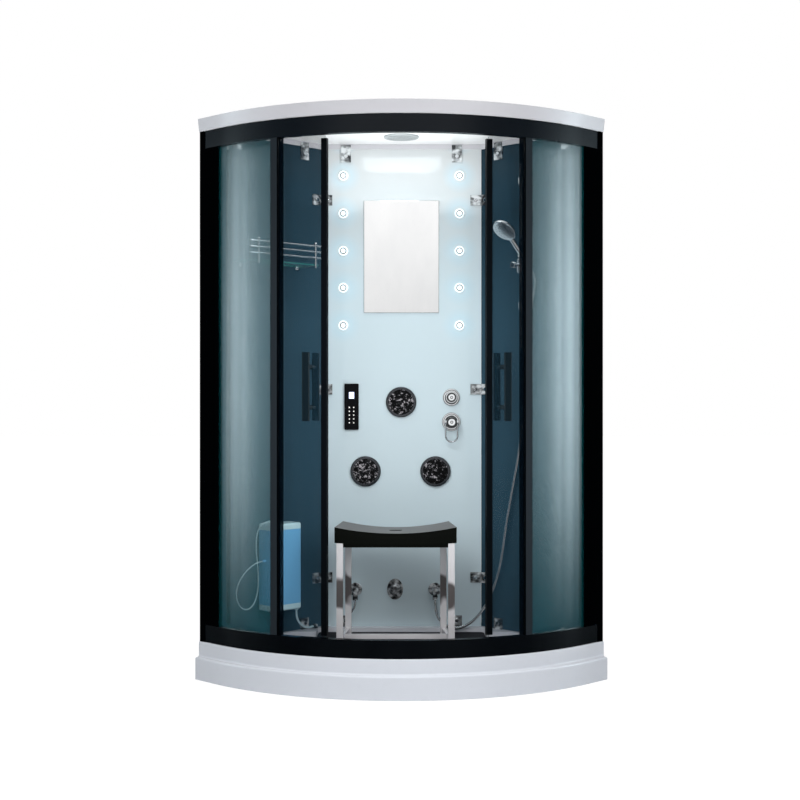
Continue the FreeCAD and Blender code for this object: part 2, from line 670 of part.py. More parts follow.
def centre_panel():
    """The coloured glass wall across the corner, drilled for its fittings."""
    panel = box(-PANEL_HALF, PANEL_HALF, PANEL_Y, PANEL_Y + PANEL_THICK, LEDGE_Z + GAP, GLASS_TOP_Z)
    holes = [(x, z, 18) for x, z in JETS]
    holes += [(side * LIGHT_X, z, 14) for side in (-1, 1) for z in LIGHT_Z]
    holes += [(VALVE_X, DIVERTER_Z, 17), (VALVE_X, MIXER_Z, 17), (CONTROL_X, CONTROL_Z, 10)]
    holes += [(x, OUTLET_Z, 10) for x in OUTLET_X] + [(STEAM_X, OUTLET_Z, 14)]
    holes += [(x, z, SCREW_R) for x, z in clip_screw_points()[0]]
    drills = [stud(radius + GAP, x, z, PANEL_Y + 20, PANEL_Y - 20) for x, z, radius in holes]
    return panel.cut(Part.Compound(drills))


def left_wall_glass():
    """Dark glass along the room's wall, from the centre panel to the post."""
    glass = box(WALL_GLASS_START, POST_IN - GAP, *WALL_GLASS, LEDGE_Z + GAP, GLASS_TOP_Z)
    drills = [turned(SCREW_R + GAP, (along, -1, z), (along, 20, z))
              for along, z in clip_screw_points()[1]]
    return on_left_wall(glass.cut(Part.Compound(drills)))


def corner_clips():
    """Angled clips that hold the centre panel to the side glass."""
    face, back = PANEL_Y - GAP, WALL_GLASS[1] + GAP
    front, off = face - CLIP_THICK, back + CLIP_THICK

    def meets(y, distance):
        return (-(CORNER_Y - distance * ROOT2 - y), y)

    def on_wall(along, distance):
        return (-(along - distance) / ROOT2, CORNER_Y - (along + distance) / ROOT2)

    near, far = -(PANEL_HALF - 2 - CLIP), CLIP_WALL_START + CLIP
    plan = polygon([(near, face), meets(face, back), on_wall(far, back),
                    on_wall(far, off), meets(front, off), (near, front)])
    screw_x = PANEL_HALF - 2 - CLIP / 2
    clips = []
    for z in CORNER_CLIP_Z:
        clip = prism(plan, z - CLIP / 2, z + CLIP / 2)
        clip = clip.cut(stud(SCREW_R + GAP, -screw_x, z, PANEL_Y, PANEL_Y - 20))
        along = CLIP_WALL_START + CLIP / 2
        clip = clip.cut(on_left_wall(turned(SCREW_R + GAP, (along, 5, z), (along, 30, z))))
        clips.append(clip)
    return clips + [mirrored(clip) for clip in clips]


def edge_clip(foot):
    """A clip on the glass face with a foot on the ledge, or a tab up the roof's skirt."""
    half = 21.0
    if foot:
        plate = box(-half, half, GAP, CLIP_THICK, LEDGE_Z + GAP, LEDGE_Z + 45)
        rest = box(-half, half, GAP, 11, LEDGE_Z + GAP, LEDGE_Z + 5)
    else:
        plate = box(-half, half, GAP, CLIP_THICK, GLASS_TOP_Z - 54, GLASS_TOP_Z - 1)
        rest = box(-half, half, 4.4, CLIP_THICK, GLASS_TOP_Z - 2, GLASS_TOP_Z + 17)
    height = LEDGE_Z + 24 if foot else GLASS_TOP_Z - 30
    drill = turned(SCREW_R + GAP, (0, -1, height), (0, 20, height))
    return plate.fuse(rest).removeSplitter().cut(drill)


def edge_clips():
    clips = []
    for foot in (True, False):
        for x in EDGE_CLIP_X:
            clip = edge_clip(foot)
            clip.translate(Vector(x, 0, 0))
            clips.append(on_panel(clip))
        for along in EDGE_CLIP_ALONG:
            clip = edge_clip(foot)
            clip.translate(Vector(along, WALL_GLASS[1], 0))
            clips += [on_left_wall(clip), on_right_wall(clip)]
    return clips


def clip_screws():
    """Round-headed screws through every clip, with a nut behind the glass."""
    def screw(reach_back):
        head = softened(turned(8, (0, 7.6, 0), (0, 11, 0)), 1.5, lambda m, a: m.y > 10)
        shank = turned(SCREW_R, (0, reach_back, 0), (0, 8, 0))
        return head.fuse(shank)

    on_the_panel, on_the_wall = clip_screw_points()
    screws = []
    for x, z in on_the_panel:
        piece = joined([screw(-14), turned(7, (0, -11, 0), (0, -PANEL_THICK - GAP, 0))])
        piece.translate(Vector(x, 0, z))
        screws.append(on_panel(piece))
    for along, z in on_the_wall:
        piece = screw(-8.5)
        piece.translate(Vector(along, WALL_GLASS[1], z))
        screws += [on_left_wall(piece), on_right_wall(piece)]
    return Part.Compound(screws)


# ---- fittings on the centre panel ---------------------------------------------------------

def mirror():
    glass = box(-MIRROR_HALF, MIRROR_HALF, PANEL_Y - GAP - 5, PANEL_Y - GAP, *MIRROR_Z)
    return softened(glass, 2.0, lambda m, a: m.y < PANEL_Y - 5)


def wall_lights():
    """Ten round lamps: a lens on the glass and a tail through it."""
    lamps = []
    for side in (-1, 1):
        for z in LIGHT_Z:
            x = side * LIGHT_X
            lens = stud(LIGHT_R, x, z, PANEL_Y - GAP, PANEL_Y - 7)
            lens = softened(lens, 4.0, lambda m, a: m.y < PANEL_Y - 6)
            tail = stud(14, x, z, PANEL_Y + 20, PANEL_Y - 1)
            lamps.append(joined([lens, tail]))
    return Part.Compound(lamps)


def jet_bodies():
    """Three round jet housings, each with a threaded tail and a nut behind the panel."""
    bodies = []
    for x, z in JETS:
        rim = softened(stud(JET_R, x, z, PANEL_Y - GAP, PANEL_Y - 14), 4.0,
                       lambda m, a: m.y < PANEL_Y - 13)
        recess = stud(JET_R - 10.5, x, z, PANEL_Y - 5, PANEL_Y - 20)
        tail = stud(18, x, z, PANEL_Y + 26, PANEL_Y - 3)
        nut = stud(28, x, z, PANEL_Y + 14, PANEL_Y + PANEL_THICK + GAP)
        bodies.append(joined([rim.cut(recess), tail, nut]))
    return Part.Compound(bodies)


def jet_faces():
    """The nozzle plates: a shallow dome with rings of rubber nozzles."""
    faces = []
    for x, z in JETS:
        plate = stud(JET_R - 10.8, x, z, PANEL_Y - 5 - GAP, PANEL_Y - 12)
        plate = softened(plate, 3.0, lambda m, a: m.y < PANEL_Y - 11)
        nozzles = [stud(2.6, x, z, PANEL_Y - 10, PANEL_Y - 15)]
        for ring, count in enumerate((6, 12, 16)):
            for k in range(count):
                turn = 2 * math.pi * k / count
                reach = 14.5 * (ring + 1)
                nozzles.append(stud(2.6, x + reach * math.cos(turn), z + reach * math.sin(turn),
                                    PANEL_Y - 10, PANEL_Y - 15))
        faces.append(joined([plate] + nozzles))
    return Part.Compound(faces)


KEY_PITCH_X, KEY_PITCH_Z = 18.2, 15.8
KEY_TOP_Z = -3.0


def control_panel():
    """A slim touch panel: lit display above two columns of five touch keys."""
    width, height, depth = CONTROL_SIZE
    case = box(-width / 2, width / 2, 0, depth, -height / 2, height / 2)
    case = softened(case, 4.0, lambda m, a: abs(a.y) > 1)
    case = softened(case, 1.5, lambda m, a: m.y > depth - 0.1)
    case = case.cut(box(-12, 12, depth - 0.8, depth + 1, 32, 62))
    pads = [case, turned(10, (0, -14, 0), (0, 1, 0))]
    for row in range(5):
        for side in (-1, 1):
            x, z = side * KEY_PITCH_X / 2, KEY_TOP_Z - row * KEY_PITCH_Z
            pads.append(turned(5.5, (x, depth - 1, z), (x, depth + 0.5, z)))
    panel = joined(pads)
    panel.translate(Vector(-CONTROL_X, GAP, CONTROL_Z))
    return on_panel(panel)


def control_box():
    """The enclosure of the electronics, behind the panel."""
    return softened(box(CONTROL_X - 70, CONTROL_X + 70, PANEL_Y + 24, PANEL_Y + 74, 1180, 1400),
                    5.0, lambda m, a: True)


STEM_R = 8.0
TURRET_R = 21.0
LEVER_Y = PANEL_Y - 42
LEVER_ROD_R = 3.5
LEVER_HALF = 24.5


def valve_body():
    """A brass block behind the panel, with the two cartridge sleeves that reach through it."""
    block = box(VALVE_X - 28, VALVE_X + 28, PANEL_Y + 16, PANEL_Y + 64, MIXER_Z - 34, DIVERTER_Z + 34)
    pieces = [softened(block, 6.0, lambda m, a: True)]
    for z in (MIXER_Z, DIVERTER_Z):
        pieces.append(stud(17, VALVE_X, z, PANEL_Y + 30, PANEL_Y - 14))
    body = joined(pieces)
    for z in (MIXER_Z, DIVERTER_Z):
        body = body.cut(stud(STEM_R + RUN, VALVE_X, z, PANEL_Y + 28, PANEL_Y - 30))
    return body


def valve_rosettes():
    """The two round wall plates of the diverter and of the mixer."""
    plates = []
    for z, radius in ((DIVERTER_Z, 36.0), (MIXER_Z, 38.5)):
        plate = stud(radius, VALVE_X, z, PANEL_Y - GAP, PANEL_Y - 9)
        plate = softened(plate, 4.0, lambda m, a: m.y < PANEL_Y - 8)
        plates.append(plate.cut(stud(17 + GAP, VALVE_X, z, PANEL_Y + 1, PANEL_Y - 20)))
    return Part.Compound(plates)


def diverter_knob():
    """A turned knob with a raised grip bar, on a stem that runs in the valve body."""
    base = softened(stud(24, VALVE_X, DIVERTER_Z, PANEL_Y - 15, PANEL_Y - 34), 3.0,
                    lambda m, a: True)
    front = softened(stud(15, VALVE_X, DIVERTER_Z, PANEL_Y - 33, PANEL_Y - 45), 2.5,
                     lambda m, a: m.y < PANEL_Y - 44)
    mark = box(VALVE_X - 2, VALVE_X + 2, PANEL_Y - 35.5, PANEL_Y - 33, DIVERTER_Z + 16, DIVERTER_Z + 22)
    stem = stud(STEM_R, VALVE_X, DIVERTER_Z, PANEL_Y + 24, PANEL_Y - 16)
    return joined([base, front, mark, stem])


def mixer_turret():
    """The part of the mixer that turns for temperature, with a pin for the lever each side."""
    barrel = softened(stud(TURRET_R, VALVE_X, MIXER_Z, PANEL_Y - 15, PANEL_Y - 56), 5.0,
                      lambda m, a: m.y < PANEL_Y - 55)
    stem = stud(STEM_R, VALVE_X, MIXER_Z, PANEL_Y + 24, PANEL_Y - 16)
    pins = turned(3, (VALVE_X - LEVER_HALF - 3, LEVER_Y, MIXER_Z), (VALVE_X + LEVER_HALF + 3, LEVER_Y, MIXER_Z))
    return joined([barrel, stem, pins])


def mixer_lever():
    """A loop handle that hangs from the turret's pins."""
    low = MIXER_Z - 57
    left, right = VALVE_X - LEVER_HALF, VALVE_X + LEVER_HALF
    path = Part.Wire([
        Part.makeLine(Vector(left, LEVER_Y, MIXER_Z), Vector(left, LEVER_Y, low)),
        Part.Arc(Vector(left, LEVER_Y, low), Vector(VALVE_X, LEVER_Y, low - LEVER_HALF),
                 Vector(right, LEVER_Y, low)).toShape(),
        Part.makeLine(Vector(right, LEVER_Y, low), Vector(right, LEVER_Y, MIXER_Z))])
    ring = Part.Wire(Part.makeCircle(LEVER_ROD_R, Vector(left, LEVER_Y, MIXER_Z), UP))
    loop = path.makePipeShell([ring], True, False)
    inside = TURRET_R + GAP
    eyes = [turned(7, (VALVE_X + side * inside, LEVER_Y, MIXER_Z),
                   (VALVE_X + side * (LEVER_HALF + 3), LEVER_Y, MIXER_Z)) for side in (-1, 1)]
    lever = joined([loop] + eyes)
    bore = turned(3 + RUN, (VALVE_X - 40, LEVER_Y, MIXER_Z), (VALVE_X + 40, LEVER_Y, MIXER_Z))
    barrel = stud(inside, VALVE_X, MIXER_Z, PANEL_Y, PANEL_Y - 80)
    return lever.cut(bore).cut(barrel)


def steam_outlet():
    """An oval hood over the steam inlet, open below."""
    plate = Part.Face(Part.Wire(Part.Ellipse(Vector(0, 0, 0), 43.5, 33).toShape()))
    plate = plate.extrude(Vector(0, 0, 6))
    plate = softened(plate, 2.5, lambda m, a: m.z > 5)
    hood = Part.makeSphere(27, Vector(0, 0, 2)).common(box(-30, 30, -30, 30, 3, 30))
    outlet = plate.fuse(hood).removeSplitter()
    outlet = outlet.cut(Part.makeCylinder(10, 60, Vector(-28, 0, 12), Vector(-1, 0, 0)))
    outlet = outlet.cut(Part.makeCylinder(10, 40, Vector(-28, 0, 12), Vector(1, 0, 0)))
    outlet = outlet.fuse(Part.makeCylinder(14, 29, Vector(0, 0, -28)))
    outlet.Placement = Placement(Vector(STEAM_X, PANEL_Y - GAP, OUTLET_Z),
                                 Rotation(Vector(1, 0, 0), 90)) * Placement(
                                     Vector(0, 0, 0), Rotation(UP, 90))
    return outlet


def hose_outlets():
    """Two wall elbows with a hose nut below, and the two unions that stand on the ledge."""
    pieces = []
    y = PANEL_Y - OUTLET_REACH
    for x in OUTLET_X:
        plate = softened(stud(27, x, OUTLET_Z, PANEL_Y - GAP, PANEL_Y - 9), 4.0,
                         lambda m, a: m.y < PANEL_Y - 8)
        arm = stud(10, x, OUTLET_Z, PANEL_Y + 26, y)
        knee = Part.makeSphere(13, Vector(x, y, OUTLET_Z))
        drop = turned(9, (x, y, NUT_Z), (x, y, OUTLET_Z))
        nut = turned(11, (x, y, NUT_Z), (x, y, NUT_Z + 16))
        pieces.append(joined([plate, arm, knee, drop, nut]))
    x, y, z = LEFT_HOSE[-1]
    pieces.append(joined([turned(7, (x, y, LEDGE_Z + GAP), (x, y, z - GAP)),
                          turned(9, (x, y, LEDGE_Z + GAP), (x, y, LEDGE_Z + 4))]))
    before, mouth = Vector(*GENERATOR_HOSE[-2]), Vector(*GENERATOR_HOSE[-1])
    ahead = Vector(mouth.x - before.x, mouth.y - before.y, 0).normalize()
    start = mouth + ahead * GAP
    pieces.append(joined([Part.makeCylinder(7, 24, start, ahead),
                          Part.makeCylinder(9, 8, start + ahead * 8, ahead),
                          turned(9, tuple(start + ahead * 20 + Vector(0, 0, LEDGE_Z + GAP - start.z)),
                                 tuple(start + ahead * 20 + Vector(0, 0, 4)))]))
    return Part.Compound(pieces)


PIPE_R = 7.5
PIPE_Y = PANEL_Y + 42


def water_pipes():
    """Pipes behind the panel, from the valve body to the jets and the hose outlets."""
    runs = []

    def pipe(start, end):
        runs.append(turned(PIPE_R, start, end))
        runs.append(Part.makeSphere(PIPE_R, Vector(*end)))

    riser = MIXER_Z - 34 - GAP
    jet_z = JETS[1][1]
    pipe((VALVE_X, PIPE_Y, riser), (VALVE_X, PIPE_Y, OUTLET_Z))
    pipe((VALVE_X, PIPE_Y, OUTLET_Z), (OUTLET_X[0], PIPE_Y, OUTLET_Z))
    pipe((VALVE_X, PIPE_Y, jet_z), (JETS[1][0], PIPE_Y, jet_z))
    pipe((JETS[0][0], PIPE_Y, jet_z), (JETS[0][0], PIPE_Y, JETS[0][1]))
    for x, z in JETS:
        runs.append(stud(PIPE_R, x, z, PIPE_Y, PANEL_Y + 26 + GAP))
    for x in OUTLET_X:
        runs.append(stud(PIPE_R, x, OUTLET_Z, PIPE_Y, PANEL_Y + 26 + GAP))
    return joined(runs)


# ---- hand shower --------------------------------------------------------------------------

def hand_axis():
    tilt = math.radians(HAND_TILT)
    return Vector(0, math.cos(tilt), math.sin(tilt))


def hand_end():
    """The foot of the handle: the hose leaves it level with the cradle's pivot."""
    return Vector(HAND_ALONG, BAR_OFF, SLIDER_Z) + hand_axis() * (HAND_NUT + GAP)


def slide_bar():
    bar = turned(BAR_R, (BAR_ALONG, BAR_OFF, BAR_Z[0]), (BAR_ALONG, BAR_OFF, BAR_Z[1]))
    return on_right_wall(softened(bar, 2.0, lambda m, a: True))


def bar_brackets():
    brackets = []
    for z in BRACKET_Z:
        base = turned(16, (BAR_ALONG, WALL_GLASS[1] + GAP, z), (BAR_ALONG, WALL_GLASS[1] + 7, z))
        arm = turned(8, (BAR_ALONG, WALL_GLASS[1] + 6, z), (BAR_ALONG, BAR_OFF, z))
        ring = turned(14, (BAR_ALONG, BAR_OFF, z - 13), (BAR_ALONG, BAR_OFF, z + 13))
        ring = joined([base, arm, softened(ring, 2.0, lambda m, a: True)])
        brackets.append(on_right_wall(ring.cut(turned(
            BAR_R + GAP, (BAR_ALONG, BAR_OFF, z - 30), (BAR_ALONG, BAR_OFF, z + 30)))))
    return Part.Compound(brackets)


CLAMP_R = 19.0
CRADLE_PLATE = (CLAMP_R + 3.0, CLAMP_R + 8.0)


def shower_slider():
    """The clamp on the bar, with its locking lever and the pin that the cradle tilts on."""
    low, high = SLIDER_Z - 28, SLIDER_Z + 28
    clamp = softened(turned(CLAMP_R, (BAR_ALONG, BAR_OFF, low), (BAR_ALONG, BAR_OFF, high)), 4.0,
                     lambda m, a: True)
    lever = turned(8, (BAR_ALONG, BAR_OFF, SLIDER_Z), (BAR_ALONG, BAR_OFF + 44, SLIDER_Z))
    knob = softened(turned(13, (BAR_ALONG, BAR_OFF + 40, SLIDER_Z), (BAR_ALONG, BAR_OFF + 58, SLIDER_Z)),
                    3.0, lambda m, a: True)
    start, end = CRADLE_PLATE
    boss = turned(9, (BAR_ALONG, BAR_OFF, SLIDER_Z), (BAR_ALONG + start - GAP, BAR_OFF, SLIDER_Z))
    pin = turned(4, (BAR_ALONG, BAR_OFF, SLIDER_Z), (BAR_ALONG + end, BAR_OFF, SLIDER_Z))
    piece = joined([clamp, lever, knob, boss, pin])
    bore = turned(BAR_R + RUN, (BAR_ALONG, BAR_OFF, low - 5), (BAR_ALONG, BAR_OFF, high + 5))
    return on_right_wall(piece.cut(bore))


def shower_cradle():
    """A plate that tilts on the slider's pin and carries the handset's socket."""
    axis = hand_axis()
    start, end = CRADLE_PLATE
    pivot = Vector(BAR_ALONG + start, BAR_OFF, SLIDER_Z)
    plate = Part.makeCylinder(10, end - start, pivot, Vector(1, 0, 0))
    socket_start = hand_end() + axis * 6
    socket = Part.makeCylinder(18.5, 34, socket_start, axis)
    reach = 50.0
    arm = Part.makeBox(end - start, reach, 16, Vector(0, 0, -8))
    arm.Placement = Placement(pivot, Rotation(Vector(1, 0, 0), HAND_TILT))
    cradle = joined([plate, arm, socket])
    cradle = cradle.cut(Part.makeCylinder(HANDLE_R + RUN, 90, socket_start - axis * 40, axis))
    mouth = turned(4 + RUN, (BAR_ALONG, BAR_OFF, SLIDER_Z), (BAR_ALONG + 60, BAR_OFF, SLIDER_Z))
    return on_right_wall(cradle.cut(mouth))


def hand_shower():
    """Nut, handle and round head."""
    axis = hand_axis()
    end = hand_end()
    down = Vector(0, axis.z, -axis.y)
    nut = Part.makeCylinder(10.5, HAND_NUT, end - axis * HAND_NUT, axis)
    grip = Part.makeCylinder(HANDLE_R, 44, end, axis)
    handle = Part.makeCone(HANDLE_R, 10, HAND_REACH - 60, end + axis * 43, axis)
    centre = end + axis * HAND_REACH
    back = Part.makeSphere(HAND_HEAD_R + 20, centre + down * 52)
    dome = Part.makeCylinder(HAND_HEAD_R, 26, centre - down * 18, down).common(back)
    rim = softened(Part.makeCylinder(HAND_HEAD_R, 9, centre + down * 3, down), 2.5, lambda m, a: True)
    shower = joined([nut, grip, handle, dome, rim])
    side = Vector(1, 0, 0)
    nozzles = []
    for ring, count in enumerate((6, 12, 18)):
        for k in range(count):
            turn = 2 * math.pi * k / count
            reach = 12.0 * (ring + 1)
            spot = centre + side * (reach * math.cos(turn)) + axis * (reach * math.sin(turn))
            nozzles.append(Part.makeCylinder(1.6, 4, spot + down * 10, down))
    return on_right_wall(joined([shower] + nozzles))


def hose_end():
    """The hose's last points, where it bends away from the wall into the handset's nut."""
    point = Vector(HAND_ALONG, BAR_OFF, SLIDER_Z)
    points = [point]
    for rise, run in HOSE_BEND:
        turn = math.radians(rise)
        point = point - Vector(0, math.cos(turn), math.sin(turn)) * run
        points.insert(0, point)
    return [((p.x - p.y) / ROOT2, CORNER_Y - (p.x + p.y) / ROOT2, p.z) for p in points]


def shower_hose():
    return tube_along("shower_hose", SHOWER_HOSE_D, list(SHOWER_HOSE) + hose_end())


def left_hose():
    return tube_along("left_hose", LEFT_HOSE_D, LEFT_HOSE)


# ---- steam generator and shelf on the left wall -------------------------------------------

def generator_case():
    """The generator's housing, with the cable gland on its side."""
    low, high = GEN_Z
    case = box(*GEN_ALONG, *GEN_OFF, low + GEN_CAP + GAP, high - GEN_CAP - GAP)
    along, off, height = CABLE_ON_WALL[-1]
    gland = turned(6, (GEN_ALONG[1] - 6, off, height), (along - GAP, off, height))
    return on_left_wall(joined([softened(case, 14.0, upright), gland]))


def generator_caps():
    """The rounded top and bottom covers, with the hose nozzle and the two cable glands."""
    along0, along1 = GEN_ALONG
    off0, off1 = GEN_OFF
    low, high = GEN_Z
    bottom = softened(box(along0, along1, off0, off1, low, low + GEN_CAP), 14.0, upright)
    bottom = softened(bottom, 8.0, lambda m, a: m.z < low + 0.1)
    top = softened(box(along0, along1, off0, off1, high - GEN_CAP, high), 14.0, upright)
    top = softened(top, 8.0, lambda m, a: m.z > high - 0.1)
    x, y, z = GENERATOR_HOSE[0]
    nozzle = mirrored(turned(7, (x, y, z + GAP), (x, y, low + 6)))
    along, off, height = CABLE_ON_WALL[0]
    gland = joined([turned(5, (along - 30, off, height), (along - GAP, off, height)),
                    turned(7, (along - 26, off, high - 6), (along - 26, off, height + 4))])
    return Part.Compound([
        joined([on_left_wall(bottom), mirrored(nozzle)]), on_left_wall(joined([top, gland]))])


def generator_hose():
    return tube_along("generator_hose", GENERATOR_HOSE_D, GENERATOR_HOSE)


def generator_cable():
    route = [(-(along - off) / ROOT2, CORNER_Y - (along + off) / ROOT2, z)
             for along, off, z in CABLE_ON_WALL]
    return tube_along("generator_cable", CABLE_D, route)


def shelf_plate():
    plate = box(*SHELF_ALONG, WALL_GLASS[1] + 8, SHELF_OFF, SHELF_PLATE_Z, SHELF_PLATE_Z + 6)
    return on_left_wall(softened(plate, 12.0, lambda m, a: upright(m, a) and m.y > 60))


def shelf_rails():
    """A wire gallery: two arms under the plate, two posts and three rails."""
    wall = WALL_GLASS[1] + GAP
    front = SHELF_OFF + 6
    arm_z = SHELF_PLATE_Z - 5 - GAP
    pieces = []
    for along in SHELF_POSTS:
        pieces.append(turned(12, (along, wall, arm_z), (along, wall + 6, arm_z)))
        pieces.append(turned(5, (along, wall, arm_z), (along, front, arm_z)))
        pieces.append(turned(5, (along, front, arm_z), (along, front, SHELF_RAIL_Z[-1] + 8)))
        pieces.append(Part.makeSphere(5, Vector(along, front, arm_z)))
        pieces.append(Part.makeSphere(7, Vector(along, front, SHELF_RAIL_Z[-1] + 8)))
    start, end = SHELF_ALONG
    for z in SHELF_RAIL_Z:
        pieces.append(turned(3, (start, front, z), (end, front, z)))
        for along in (start, end):
            pieces.append(turned(3, (along, wall, z), (along, front, z)))
            pieces.append(Part.makeSphere(3, Vector(along, front, z)))
    return on_left_wall(joined(pieces))


# ---- stool --------------------------------------------------------------------------------

def stool_seat():
    """A saddle seat, dished from side to side, with a hand slot in the middle and an apron."""
    low = SEAT_Z - SEAT_EDGE

    def section(y, half):
        top, deep = SEAT_Z, low - 6
        points = {
            "left": Vector(-half, y, top), "dip": Vector(0, y, top - SEAT_DIP),
            "right": Vector(half, y, top), "low_right": Vector(half, y, low),
            "under": Vector(0, y, deep), "low_left": Vector(-half, y, low)}
        edges = [
            Part.Arc(points["left"], points["dip"], points["right"]).toShape(),
            Part.makeLine(points["right"], points["low_right"]),
            Part.Arc(points["low_right"], points["under"], points["low_left"]).toShape(),
            Part.makeLine(points["low_left"], points["left"])]
        return Part.Wire(edges)

    seat = Part.makeLoft([section(STOOL_FRONT_Y, STOOL_FRONT_HALF),
                          section(STOOL_BACK_Y, STOOL_BACK_HALF)], True, True)
    (front_x, front_y), (back_x, back_y) = leg_places()[2:]
    reach = LEG / 2 + GAP
    seat = joined([seat] + [
        box(reach - x, x - reach, y - 7, y + 7, low - APRON, low + 2)
        for x, y in ((front_x, front_y), (back_x, back_y))])
    middle = (STOOL_FRONT_Y + STOOL_BACK_Y) / 2
    run, end = SEAT_SLOT
    slot = joined([box(-run, run, middle - end, middle + end, 400, 700),
                   Part.makeCylinder(end, 300, Vector(-run, middle, 400)),
                   Part.makeCylinder(end, 300, Vector(run, middle, 400))])
    seat = seat.cut(slot)
    for x, y in leg_places():
        seat = seat.cut(box(x - LEG / 2 - GAP, x + LEG / 2 + GAP, y - LEG / 2 - GAP, y + LEG / 2 + GAP,
                            400, SEAT_Z - 34 + GAP))
    seat.translate(Vector(STOOL_X, 0, 0))
    return seat


def leg_places():
    """Leg centres, measured from the stool's middle."""
    front, back = STOOL_FRONT_Y + LEG / 2 + 2, STOOL_BACK_Y - LEG / 2 - 2
    return [(side * half, y) for side in (-1, 1)
            for half, y in ((STOOL_FRONT_HALF - 20, front), (STOOL_BACK_HALF - 22, back))]


def stool_frame():
    """Four square legs, a low rung each side and a bar between the rungs."""
    foot = BOARD_Z + GAP + FOOT_HEIGHT
    pieces = []
    for x, y in leg_places():
        pieces.append(box(x - LEG / 2, x + LEG / 2, y - LEG / 2, y + LEG / 2, foot, SEAT_Z - 34))
    for side in (-1, 1):
        (x0, y0), (x1, y1) = [(x, y) for x, y in leg_places() if x * side > 0]
        plan = polygon([(x0 - 8, y0), (x0 + 8, y0), (x1 + 8, y1), (x1 - 8, y1)])
        pieces.append(prism(plan, 146, 166))
    reach = STOOL_FRONT_HALF - 26
    pieces.append(box(-reach, reach, -146, -130, 147, 165))
    frame = joined(pieces)
    frame.translate(Vector(STOOL_X, 0, 0))
    return frame


def stool_feet():
    """A rubber tip under each leg."""
    feet = []
    for x, y in leg_places():
        foot = box(x - 13, x + 13, y - 13, y + 13, BOARD_Z + GAP, BOARD_Z + FOOT_HEIGHT)
        foot.translate(Vector(STOOL_X, 0, 0))
        feet.append(softened(foot, 2.0, upright))
    return Part.Compound(feet)


# ---- all nodes ----------------------------------------------------------------------------

def door_nodes(side, open_angle, hand):
    """One door's pieces, turned to where it stands ajar."""
    def place(shape):
        return hand(turned_door(shape, -open_angle))

    nodes = {
        f"{side}_door_glass": place(door_glass()),
        f"{side}_door_strips": place(door_strips()),
        f"{side}_door_handle": place(door_handle()),
        f"{side}_door_hangers": place(door_hangers())}
    for end, (degrees, height) in zip(("front", "rear"), hanger_points()):
        nodes[f"{side}_{end}_roller"] = place(door_roller(degrees, height))
    return nodes


def same(shape):
    return shape


NODES = {
    "tray": tray,
    "drain": drain,
    "tray_frame": tray_frame,
    "levelling_feet": levelling_feet,
    "floor_board": floor_board,
    "bottom_rail": bottom_rail,
    "top_rail": top_rail,
    "wall_posts": lambda: both_sides(left_post()),
    "mid_posts": lambda: both_sides(left_mid_post()),
    "fixed_glass": lambda: both_sides(left_fixed_glass()),
    "wall_glass": lambda: both_sides(left_wall_glass()),
    "centre_panel": centre_panel,
    "roof": roof,
    "ceiling_lamp": ceiling_lamp,
    "rain_shower": rain_shower,
    "ceiling_speaker": ceiling_speaker,
    "glass_clips": lambda: Part.Compound(corner_clips() + edge_clips()),
    "clip_screws": clip_screws,
    "mirror": mirror,
    "wall_lights": wall_lights,
    "jet_bodies": jet_bodies,
    "jet_faces": jet_faces,
    "control_panel": control_panel,
    "control_box": control_box,
    "valve_body": valve_body,
    "valve_rosettes": valve_rosettes,
    "diverter_knob": diverter_knob,
    "mixer_turret": mixer_turret,
    "mixer_lever": mixer_lever,
    "steam_outlet": steam_outlet,
    "hose_outlets": hose_outlets,
    "water_pipes": water_pipes,
    "slide_bar": slide_bar,
    "bar_brackets": bar_brackets,
    "shower_slider": shower_slider,
    "shower_cradle": shower_cradle,
    "hand_shower": hand_shower,
    "shower_hose": shower_hose,
    "left_hose": left_hose,
    "generator_case": generator_case,
    "generator_caps": generator_caps,
    "generator_hose": generator_hose,
    "generator_cable": generator_cable,
    "shelf_plate": shelf_plate,
    "shelf_rails": shelf_rails,
    "stool_seat": stool_seat,
    "stool_frame": stool_frame,
    "stool_feet": stool_feet,
}


def write(name, shape):
    if not shape.isValid():
        print("not valid:", name)
    shape.exportStep(os.path.join("parts", name + ".step"))


os.makedirs("parts", exist_ok=True)
for name, make in NODES.items():
    write(name, make())
for door in (("left", LEFT_OPEN, same), ("right", RIGHT_OPEN, mirrored)):
    for name, shape in door_nodes(*door).items():
        write(name, shape)
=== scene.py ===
"""A quadrant steam shower cabin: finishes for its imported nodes, its hoses and the small trim."""

